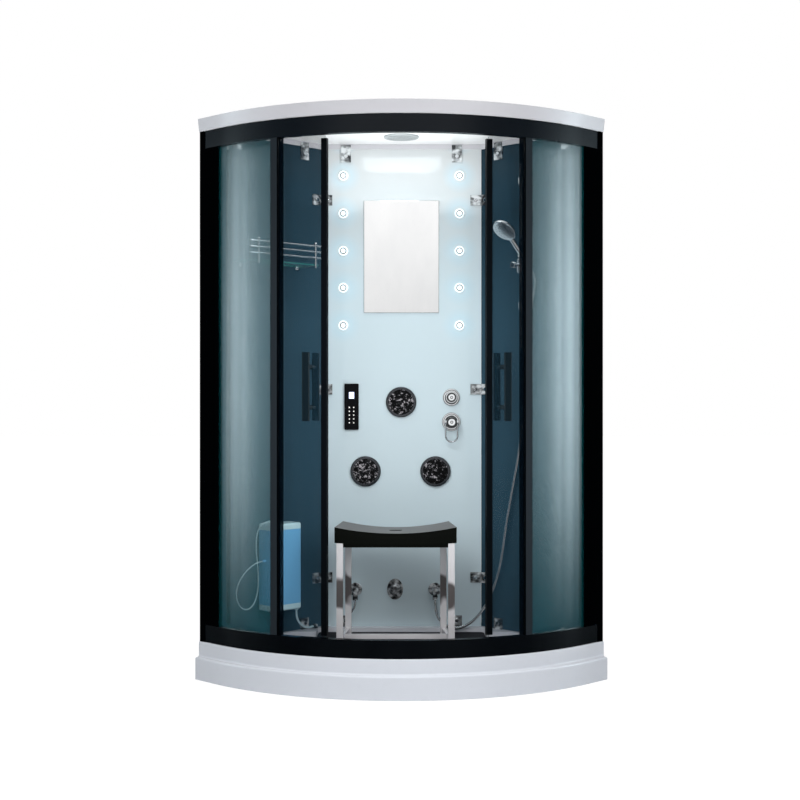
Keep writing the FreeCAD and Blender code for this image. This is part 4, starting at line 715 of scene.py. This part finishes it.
SHOWER_HOSE = (
    (0.139, 0.204, 0.2467), (0.140, 0.204, 0.208), (0.152, 0.202, 0.170), (0.182, 0.198, 0.141),
    (0.227, 0.192, 0.128), (0.276, 0.184, 0.148), (0.320, 0.172, 0.190), (0.356, 0.156, 0.247),
    (0.385, 0.138, 0.325), (0.407, 0.118, 0.415), (0.4245, 0.102, 0.560), (0.449, 0.084, 0.712),
    (0.474, 0.064, 0.850), (0.490, 0.048, 1.005), (0.495, 0.039, 1.140), (0.505, 0.033, 1.262),
    (0.516, 0.029, 1.380), (0.527, 0.0245, 1.488))
HAND_END = (0.779, 0.060, 1.607)                    # along the wall, off the wall, height
HOSE_BEND = ((42, 0.028), (60, 0.028), (78, 0.032))     # degrees down, and the length of that step
LEFT_HOSE = (
    (-0.190, 0.204, 0.2467), (-0.1904, 0.2042, 0.2305), (-0.195, 0.2056, 0.213),
    (-0.2055, 0.209, 0.197), (-0.216, 0.2124, 0.1805), (-0.2216, 0.2142, 0.1635),
    (-0.222, 0.2143, 0.1477))
GENERATOR_HOSE = (
    (-0.422, 0.055, 0.2297), (-0.4215, 0.056, 0.204), (-0.415, 0.068, 0.180),
    (-0.402, 0.093, 0.160), (-0.388, 0.121, 0.147), (-0.374, 0.149, 0.1434), (-0.362, 0.172, 0.143))
CABLE_ON_WALL = (
    (0.828, 0.086, 0.592), (0.843, 0.086, 0.592), (0.857, 0.083, 0.585), (0.866, 0.077, 0.569),
    (0.870, 0.068, 0.545), (0.867, 0.060, 0.500), (0.857, 0.054, 0.445), (0.846, 0.048, 0.390),
    (0.842, 0.044, 0.335), (0.850, 0.041, 0.288), (0.870, 0.040, 0.258), (0.898, 0.039, 0.248),
    (0.927, 0.041, 0.260), (0.948, 0.044, 0.288), (0.955, 0.046, 0.325), (0.943, 0.049, 0.366),
    (0.915, 0.053, 0.400), (0.882, 0.057, 0.424), (0.855, 0.060, 0.434), (0.836, 0.0604, 0.436))


def hose_end():
    """The last points of the shower hose, bending away from the wall into the nut."""
    along, off, height = HAND_END
    points = [corner_point(1, along, off, height)]
    for rise, run in HOSE_BEND:
        off -= math.cos(math.radians(rise)) * run
        height -= math.sin(math.radians(rise)) * run
        points.insert(0, corner_point(1, along, off, height))
    return points


class CABIN_OT_hoses(bpy.types.Operator):
    """Lay the shower hose, the short hoses and the generator's cable"""
    bl_idname = "cabin.hoses"
    bl_label = "Hoses and cable"

    def execute(self, context):
        book = material_book(context)
        sizes = context.scene.cabin_sizes
        wound = book["hose_metal"]
        cable = [corner_point(-1, *place) for place in CABLE_ON_WALL]
        runs = (
            ("shower_hose", list(SHOWER_HOSE) + hose_end(), sizes.shower_hose, wound, "medium"),
            ("left_hose", LEFT_HOSE, sizes.left_hose, wound, "medium"),
            ("generator_hose", GENERATOR_HOSE, sizes.generator_hose, book["pale_hose"], "medium"),
            ("generator_cable", cable, sizes.cable, book["pale_hose"], "limp"))
        for name, points, diameter, material, stiffness in runs:
            line = smooth_line(points)
            body = None if name == "shower_hose" else "cabin"
            hose = new_piece(name + "_laid", hose_mesh(line, diameter), material, body, 60)
            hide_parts(name)
            if name == "shower_hose":
                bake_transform(hose)
        return {"FINISHED"}


# ---- operators for the carried-over nodes --------------------------------------------------

class CABIN_OT_mouldings(bpy.types.Operator):
    """Finish the tray, the floor board, the roof and what is under the tray"""
    bl_idname = "cabin.mouldings"
    bl_label = "Tray and roof"

    def execute(self, context):
        book = material_book(context)
        dress_all(("tray", "roof", "floor_board", "rain_shower", "drain", "tray_frame", "levelling_feet"),
                  book)
        dressed("ceiling_speaker", plastic("speaker_grille", (0.36, 0.39, 0.40), 0.4))
        dressed("ceiling_lamp", book["light_lens"])
        return {"FINISHED"}


class CABIN_OT_frame(bpy.types.Operator):
    """Finish the curved rails, the posts and the mid posts"""
    bl_idname = "cabin.frame"
    bl_label = "Curved frame"

    def execute(self, context):
        dress_all(("bottom_rail", "wall_posts"), material_book(context))
        colours = context.scene.cabin_colours
        black = tuple(colours.lacquer)
        # painted sheen: the top rail is a paler copy of the rails' black lacquer
        dressed("top_rail", lacquer("top_rail_lacquer", shade(black, 2.6), 0.25, 0.14))
        dressed("mid_posts", post_finish("mid_post_grey", tuple(colours.post), shade(black, 0.4)))
        return {"FINISHED"}


class CABIN_OT_shade_strips(bpy.types.Operator):
    """Stand a thin dark film of painted shade beside each mid post, along the edge of the fixed glass"""
    bl_idname = "cabin.seals"
    bl_label = "Painted shade strips"

    def execute(self, context):
        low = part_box("bottom_rail")[1].z + SHADE_STRIP_GAP
        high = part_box("top_rail")[0].z - SHADE_STRIP_GAP
        step = math.radians(SHADE_STRIP_TO - SHADE_STRIP_FROM) / SHADE_STRIP_STEPS
        strips = bmesh.new()
        for side in (-1, 1):
            turns = [side * (math.radians(SHADE_STRIP_FROM) + index * step) for index in range(SHADE_STRIP_STEPS + 1)]
            bottom = [strips.verts.new(arc_point(turn, SHADE_STRIP_RADIUS, low)) for turn in turns]
            edges = [strips.edges.new(pair) for pair in zip(bottom, bottom[1:])]
            made = bmesh.ops.extrude_edge_only(strips, edges=edges)
            tops = [item for item in made["geom"] if isinstance(item, bmesh.types.BMVert)]
            bmesh.ops.translate(strips, verts=tops, vec=(0, 0, high - low))
        bmesh.ops.recalc_face_normals(strips, faces=strips.faces)
        bmesh.ops.solidify(strips, geom=strips.faces[:], thickness=SHADE_STRIP_THICK)
        bmesh.ops.recalc_face_normals(strips, faces=strips.faces)
        # painted shade: a dark film where the mid post keeps reflections off the door glass
        film = tinted_glass("seal_film", (0.0005, 0.002, 0.004), 0.80, 1.1, (0.0005, 0.003, 0.005))
        new_piece("post_seals", strips, film, "cabin")
        return {"FINISHED"}


class CABIN_OT_glass(bpy.types.Operator):
    """Finish the fixed glass, the side glass, the centre panel and the mirror"""
    bl_idname = "cabin.glass"
    bl_label = "Glass"

    def execute(self, context):
        dress_all(("fixed_glass", "wall_glass", "centre_panel", "mirror", "glass_clips", "clip_screws"),
                  material_book(context))
        return {"FINISHED"}


class CABIN_OT_doors(bpy.types.Operator):
    """Finish both sliding doors with their grips, seals and rollers"""
    bl_idname = "cabin.doors"
    bl_label = "Doors"

    def execute(self, context):
        book = material_book(context)
        grip = lacquer("grip_plating", tuple(context.scene.cabin_colours.grip), 0.2, 0.3)
        leaf = tinted_glass("door_glass", tuple(context.scene.cabin_colours.door_veil), 0.19, 2.0)
        for side in ("left", "right"):
            dress_all([side + end for end in (
                "_door_strips", "_door_hangers", "_front_roller", "_rear_roller")], book)
            dressed(side + "_door_glass", leaf)
            dressed(side + "_door_handle", grip)
        return {"FINISHED"}


class CABIN_OT_fittings(bpy.types.Operator):
    """Finish the jets, the lights, the valves, the outlets and the hand shower"""
    bl_idname = "cabin.fittings"
    bl_label = "Wall fittings"

    def execute(self, context):
        book = material_book(context)
        dress_all(("jet_faces", "valve_body", "mixer_lever", "water_pipes", "slide_bar", "bar_brackets",
                   "shower_slider", "shower_cradle", "hand_shower", "control_box"), book)
        colours = context.scene.cabin_colours
        chrome = tuple(colours.chrome)
        dressed("jet_bodies", polished("jet_rim", shade(tuple(colours.dark_chrome), 1.5), 0.08))
        dressed("wall_lights", glowing("wall_light_lens", tuple(colours.glow), 0.35))
        for node, reach in (("diverter_knob", 0.036), ("mixer_turret", 0.0385)):
            low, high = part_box(node)
            dressed(node, ringed_chrome(node + "_plating", chrome, (low + high) / 2, reach, KNOB_PAINTED_RINGS))
        low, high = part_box("valve_rosettes")
        middle = (low + high) / 2
        reach = (high.x - low.x) / 2
        dressed("valve_rosettes", ringed_chrome(
            "rosette_plating", chrome, middle, reach, ROSETTE_PAINTED_RINGS, high.z - middle.z - reach))
        dressed("hose_outlets", patchy_chrome(
            "outlet_plating", shade(chrome, 0.9), (0.012, 0.013, 0.015), 44))
        dressed("steam_outlet", patchy_chrome(
            "steam_plating", shade(chrome, 0.8), (0.010, 0.010, 0.012), 38))
        return {"FINISHED"}


class CABIN_OT_lamp_rings(bpy.types.Operator):
    """Lay a fine metal ring on each wall lamp, round its bright middle"""
    bl_idname = "cabin.lamp_rings"
    bl_label = "Lamp rings"

    def execute(self, context):
        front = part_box("wall_lights")[0].y
        ring = bmesh.new()
        for side in (-1, 1):
            for height in LIGHT_HEIGHTS:
                place = Matrix.Translation((side * LIGHT_X, front, height))
                add_ring(ring, place @ Matrix.Rotation(math.pi / 2, 4, "X"), RING_RADIUS, RING_BEAD)
        new_piece("lamp_rings", ring, polished("lamp_ring", (0.060, 0.066, 0.072), 0.25), "cabin")
        return {"FINISHED"}


class CABIN_OT_touch_panel(bpy.types.Operator):
    """Finish the touch panel with its lit display and the marks of its keys"""
    bl_idname = "cabin.touch_panel"
    bl_label = "Touch panel"

    def execute(self, context):
        book = material_book(context)
        dressed("control_panel", book["black_plastic"])
        low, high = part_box("control_panel")
        centre_x, centre_z = (low.x + high.x) / 2, (low.z + high.z) / 2
        front = low.y
        lit = glowing("display_glass", (0.62, 0.70, 1.0), 1.3, 700)
        display = bmesh.new()
        bmesh.ops.create_cube(display, size=1.0, matrix=Matrix.Translation(
            (centre_x, front + DISPLAY_DEPTH, centre_z + DISPLAY_RISE)) @ Matrix.Diagonal((*DISPLAY_SIZE, 1)))
        bmesh.ops.bevel(display, geom=display.edges[:], offset=0.0002, segments=2, profile=0.5,
                        affect="EDGES", material=-1)
        new_piece("panel_display", display, lit, "cabin")
        mark = glowing("key_mark", (0.90, 0.87, 0.84), 0.30, 900)
        marks = bmesh.new()
        width = context.scene.cabin_sizes.key
        for row in range(KEY_ROWS):
            for side in (-1, 1):
                place = (centre_x + side * KEY_SIDE, front + KEY_DEPTH, centre_z - KEY_DROP - row * KEY_PITCH)
                bmesh.ops.create_cone(
                    marks, cap_ends=True, segments=20, radius1=width / 2, radius2=width / 2, depth=KEY_THICK,
                    matrix=Matrix.Translation(place) @ Matrix.Rotation(math.pi / 2, 4, "X"))
        new_piece("panel_key_marks", marks, mark, "cabin")
        return {"FINISHED"}


class CABIN_OT_generator(bpy.types.Operator):
    """Finish the steam generator's case and covers"""
    bl_idname = "cabin.generator"
    bl_label = "Steam generator"

    def execute(self, context):
        dress_all(("generator_case", "generator_caps"), material_book(context))
        return {"FINISHED"}


class CABIN_OT_shelf(bpy.types.Operator):
    """Finish the wall shelf"""
    bl_idname = "cabin.shelf"
    bl_label = "Shelf"

    def execute(self, context):
        dress_all(("shelf_plate", "shelf_rails"), material_book(context))
        return {"FINISHED"}


class CABIN_OT_stool(bpy.types.Operator):
    """Finish the stool"""
    bl_idname = "cabin.stool"
    bl_label = "Stool"

    def execute(self, context):
        book = material_book(context)
        dress_all(("stool_seat", "stool_feet"), book)
        dressed("stool_frame", satin_tube("stool_tube"))
        return {"FINISHED"}


# ---- studio -------------------------------------------------------------------------------

AMBIENT = 0.42                          # the world's light on the cabin, where its white background is 1
FLOOR_WHITE, FLOOR_SHARE = 1.17, 0.8    # strength of the floor's white, and its share beside the shadow
WRAP_RADIUS, WRAP_LOW, WRAP_HIGH = 8.0, -3.0, 9.0
WRAP_STRENGTH, SKY_STRENGTH = 8.4, 0.7
WRAP_TURN = 0.014                       # radians by which the bands are turned to the right

# degrees from the front, and strength of the bright band on each side
SIDE_BAND = (
    (0, 0), (61, 0), (67, 0.24), (72, 0.32), (77, 0.48), (80, 0.72), (83, 1.02), (86, 1.24), (88.5, 1.05),
    (90.3, 0.72), (91.5, 0.86), (92.6, 0.42), (94, 0.24), (96, 0.14), (101, 0))
# height and strength, of that band and of the light above the front
BAND_HEIGHTS = (
    (-1.0, 0.04), (-0.6, 0.17), (-0.22, 0.35), (0.32, 0.66), (1.04, 0.93), (1.95, 1.0), (2.85, 0.78),
    (3.2, 0.6), (3.5, 0.0))
SKY_HEIGHTS = ((0.2, 0.5), (0.8, 0.12), (1.4, 0.12), (2.2, 0.6), (3.6, 1.0))


def seen_directly(tree):
    """1 for rays that show the background: from the camera, in gloss and through glass."""
    path = tree.nodes.new("ShaderNodeLightPath")
    total = Signal(tree, path.outputs["Is Camera Ray"]) + Signal(tree, path.outputs["Is Glossy Ray"])
    return (total + Signal(tree, path.outputs["Is Transmission Ray"])).capped(1.0)


def white_world(scene, ambient):
    world = bpy.data.worlds.new("white_studio")
    world.use_nodes = True
    tree = world.node_tree
    background = tree.nodes["Background"]
    background.inputs["Color"].default_value = (1, 1, 1, 1)
    connect(tree, background.inputs["Strength"], seen_directly(tree) * (1 - ambient) + ambient)
    scene.world = world


def floor_finish():
    material = bpy.data.materials.new("studio_floor")
    material.use_nodes = True
    tree = material.node_tree
    tree.nodes.clear()
    white = tree.nodes.new("ShaderNodeEmission")
    matt = tree.nodes.new("ShaderNodeBsdfDiffuse")
    matt.inputs["Color"].default_value = (0.86, 0.87, 0.88, 1)
    mix = tree.nodes.new("ShaderNodeMixShader")
    output = tree.nodes.new("ShaderNodeOutputMaterial")
    white.inputs["Strength"].default_value = FLOOR_WHITE
    connect(tree, mix.inputs[0], seen_directly(tree) * FLOOR_SHARE)
    tree.links.new(matt.outputs[0], mix.inputs[1])
    tree.links.new(white.outputs[0], mix.inputs[2])
    tree.links.new(mix.outputs[0], output.inputs["Surface"])
    return material


def studio_wrap(radius, low, high):
    """A round screen that only gloss sees: a white wall in front and a bright band on each side."""
    shape = bmesh.new()
    bmesh.ops.create_cone(
        shape, cap_ends=False, segments=128, radius1=radius, radius2=radius, depth=high - low,
        matrix=Matrix.Translation((0, 0, (high + low) / 2)))
    mesh = bpy.data.meshes.new("studio_wrap")
    shape.to_mesh(mesh)
    shape.free()
    finish = Finish("studio_wrap")
    x, y, z = (finish.axis(letter) for letter in "XYZ")
    bearing = x.maths("ARCTAN2", 0 - y)
    around = abs(bearing - WRAP_TURN) * (1 / math.pi)
    band = finish.level(around, [(degrees / 180, value) for degrees, value in SIDE_BAND])
    climb = (z - low) * (1 / (high - low))
    tall = finish.level(climb, [((height - low) / (high - low), value) for height, value in BAND_HEIGHTS])
    uneven = x.above(0) * 0.34 + 0.76
    sky = finish.level(climb, [((height - low) / (high - low), value) for height, value in SKY_HEIGHTS])
    patches = finish.level(finish.noise(0.55, 3), [(0.42, 0.1), (0.56, 1.0)])
    ahead = finish.level(around, [(0.0, 1.0), (0.19, 1.0), (0.25, 0.15)])
    soft = {"interpolation_type": "SMOOTHSTEP"}
    middle = finish.node("MapRange", soft, {0: abs(x), 1: 5.4, 2: 3.4})
    off_floor = finish.node("MapRange", soft, {0: z, 1: -0.5, 2: 0.6})
    window = middle * off_floor * z.below(4.6) * around.below(0.45)
    pane = finish.node("MapRange", entries={0: z, 1: 1.6, 2: 3.3, 3: 0.79, 4: 1.10})
    total = band * tall * uneven * WRAP_STRENGTH + sky * patches * ahead * SKY_STRENGTH
    total = total.maths("MAXIMUM", window * pane)
    light = finish.tree.nodes.new("ShaderNodeEmission")
    connect(finish.tree, light.inputs["Color"], finish.blend(window, (0.74, 0.90, 0.97), (1.0, 1.0, 1.0)))
    connect(finish.tree, light.inputs["Strength"], total)
    output = finish.tree.nodes.new("ShaderNodeOutputMaterial")
    finish.tree.links.new(light.outputs[0], output.inputs["Surface"])
    mesh.materials.append(finish.material)
    piece = bpy.data.objects.new("studio_wrap", mesh)
    bpy.context.scene.collection.objects.link(piece)
    for kind in ("camera", "diffuse", "shadow", "transmission"):
        setattr(piece, "visible_" + kind, False)


def area_light(name, place, towards, width, height, watts, tint=(1, 1, 1)):
    light = bpy.data.lights.new(name, "AREA")
    light.shape = "RECTANGLE"
    light.size = width
    light.size_y = height
    light.energy = watts
    light.color = tint
    lamp = bpy.data.objects.new(name, light)
    lamp.matrix_world = Matrix.Translation(place) @ (
        Vector(towards) - Vector(place)).to_track_quat("-Z", "Y").to_matrix().to_4x4()
    lamp.visible_glossy = False
    bpy.context.scene.collection.objects.link(lamp)


def halo_light(x, z):
    """The soft light that a wall lamp throws back on the glass round it."""
    light = bpy.data.lights.new("halo", "POINT")
    light.energy = 0.012
    light.color = (0.72, 0.93, 1.0)
    light.shadow_soft_size = 0.012
    lamp = bpy.data.objects.new("halo", light)
    lamp.location = (x, PANEL_FRONT - HALO_STANDOFF, z)
    lamp.visible_glossy = False
    bpy.context.scene.collection.objects.link(lamp)


class CABIN_OT_stage(bpy.types.Operator):
    """Set up the white studio, its lights and the camera"""
    bl_idname = "cabin.stage"
    bl_label = "Studio"

    def execute(self, context):
        scene = context.scene
        scene.view_settings.view_transform = "Standard"
        white_world(scene, AMBIENT)
        floor = bmesh.new()
        bmesh.ops.create_grid(floor, x_segments=1, y_segments=1, size=30)
        mesh = bpy.data.meshes.new("studio_floor")
        floor.to_mesh(mesh)
        floor.free()
        mesh.materials.append(floor_finish())
        ground = bpy.data.objects.new("studio_floor", mesh)
        ground.location.z = -0.0005
        ground.visible_glossy = False
        scene.collection.objects.link(ground)
        area_light("key", (-2.2, -4.6, 4.2), (0, 0, 1.1), 2.6, 2.0, 120)
        area_light("fill", (2.6, -4.4, 2.6), (0, 0, 1.0), 2.4, 2.4, 85)
        area_light("top", (0, -0.6, 4.8), (0, -0.2, 2.1), 2.4, 2.4, 60)
        area_light("inner_glow", (0, -0.75, 1.12), (0, 0.23, 1.0), 0.7, 1.1, 6.8)
        area_light("ceiling_glow", (0, -0.1, 1.9), (0, -0.05, 2.13), 0.7, 0.5, 2.2)
        for side in (-1, 1):
            for height in LIGHT_HEIGHTS:
                halo_light(side * LIGHT_X, height)
        studio_wrap(WRAP_RADIUS, WRAP_LOW, WRAP_HIGH)
        camera = bpy.data.cameras.new("camera")
        camera.lens = 62.63
        camera.sensor_width = 36.0
        camera.shift_x = -0.0017
        camera.shift_y = -0.0076
        eye = bpy.data.objects.new("camera", camera)
        eye.location = (0, -5.536, 1.096)
        eye.rotation_euler = (math.pi / 2, 0, 0)
        scene.collection.objects.link(eye)
        scene.camera = eye
        return {"FINISHED"}


class CABIN_PT_panel(bpy.types.Panel):
    """The cabin's operators, sizes and colours"""
    bl_idname = "CABIN_PT_panel"
    bl_label = "Steam Cabin"
    bl_space_type = "VIEW_3D"
    bl_region_type = "UI"
    bl_category = "Steam Cabin"

    def draw(self, context):
        for operator in OPERATORS:
            self.layout.operator(operator.bl_idname)
        for group in (context.scene.cabin_sizes, context.scene.cabin_colours):
            for name in group.__annotations__:
                self.layout.prop(group, name)


OPERATORS = (
    CABIN_OT_mouldings, CABIN_OT_frame, CABIN_OT_shade_strips, CABIN_OT_glass, CABIN_OT_doors, CABIN_OT_fittings,
    CABIN_OT_lamp_rings, CABIN_OT_touch_panel, CABIN_OT_generator, CABIN_OT_shelf, CABIN_OT_stool,
    CABIN_OT_hoses, CABIN_OT_stage)
CLASSES = (CabinColours, CabinSizes, *OPERATORS, CABIN_PT_panel)


def register():
    for item in CLASSES:
        bpy.utils.register_class(item)
    bpy.types.Scene.cabin_colours = PointerProperty(type=CabinColours)
    bpy.types.Scene.cabin_sizes = PointerProperty(type=CabinSizes)


def unregister():
    del bpy.types.Scene.cabin_sizes
    del bpy.types.Scene.cabin_colours
    for item in reversed(CLASSES):
        bpy.utils.unregister_class(item)


def main():
    register()
    for operator in OPERATORS:
        group, name = operator.bl_idname.split(".")
        getattr(getattr(bpy.ops, group), name)()


if __name__ == "__main__":
    main()
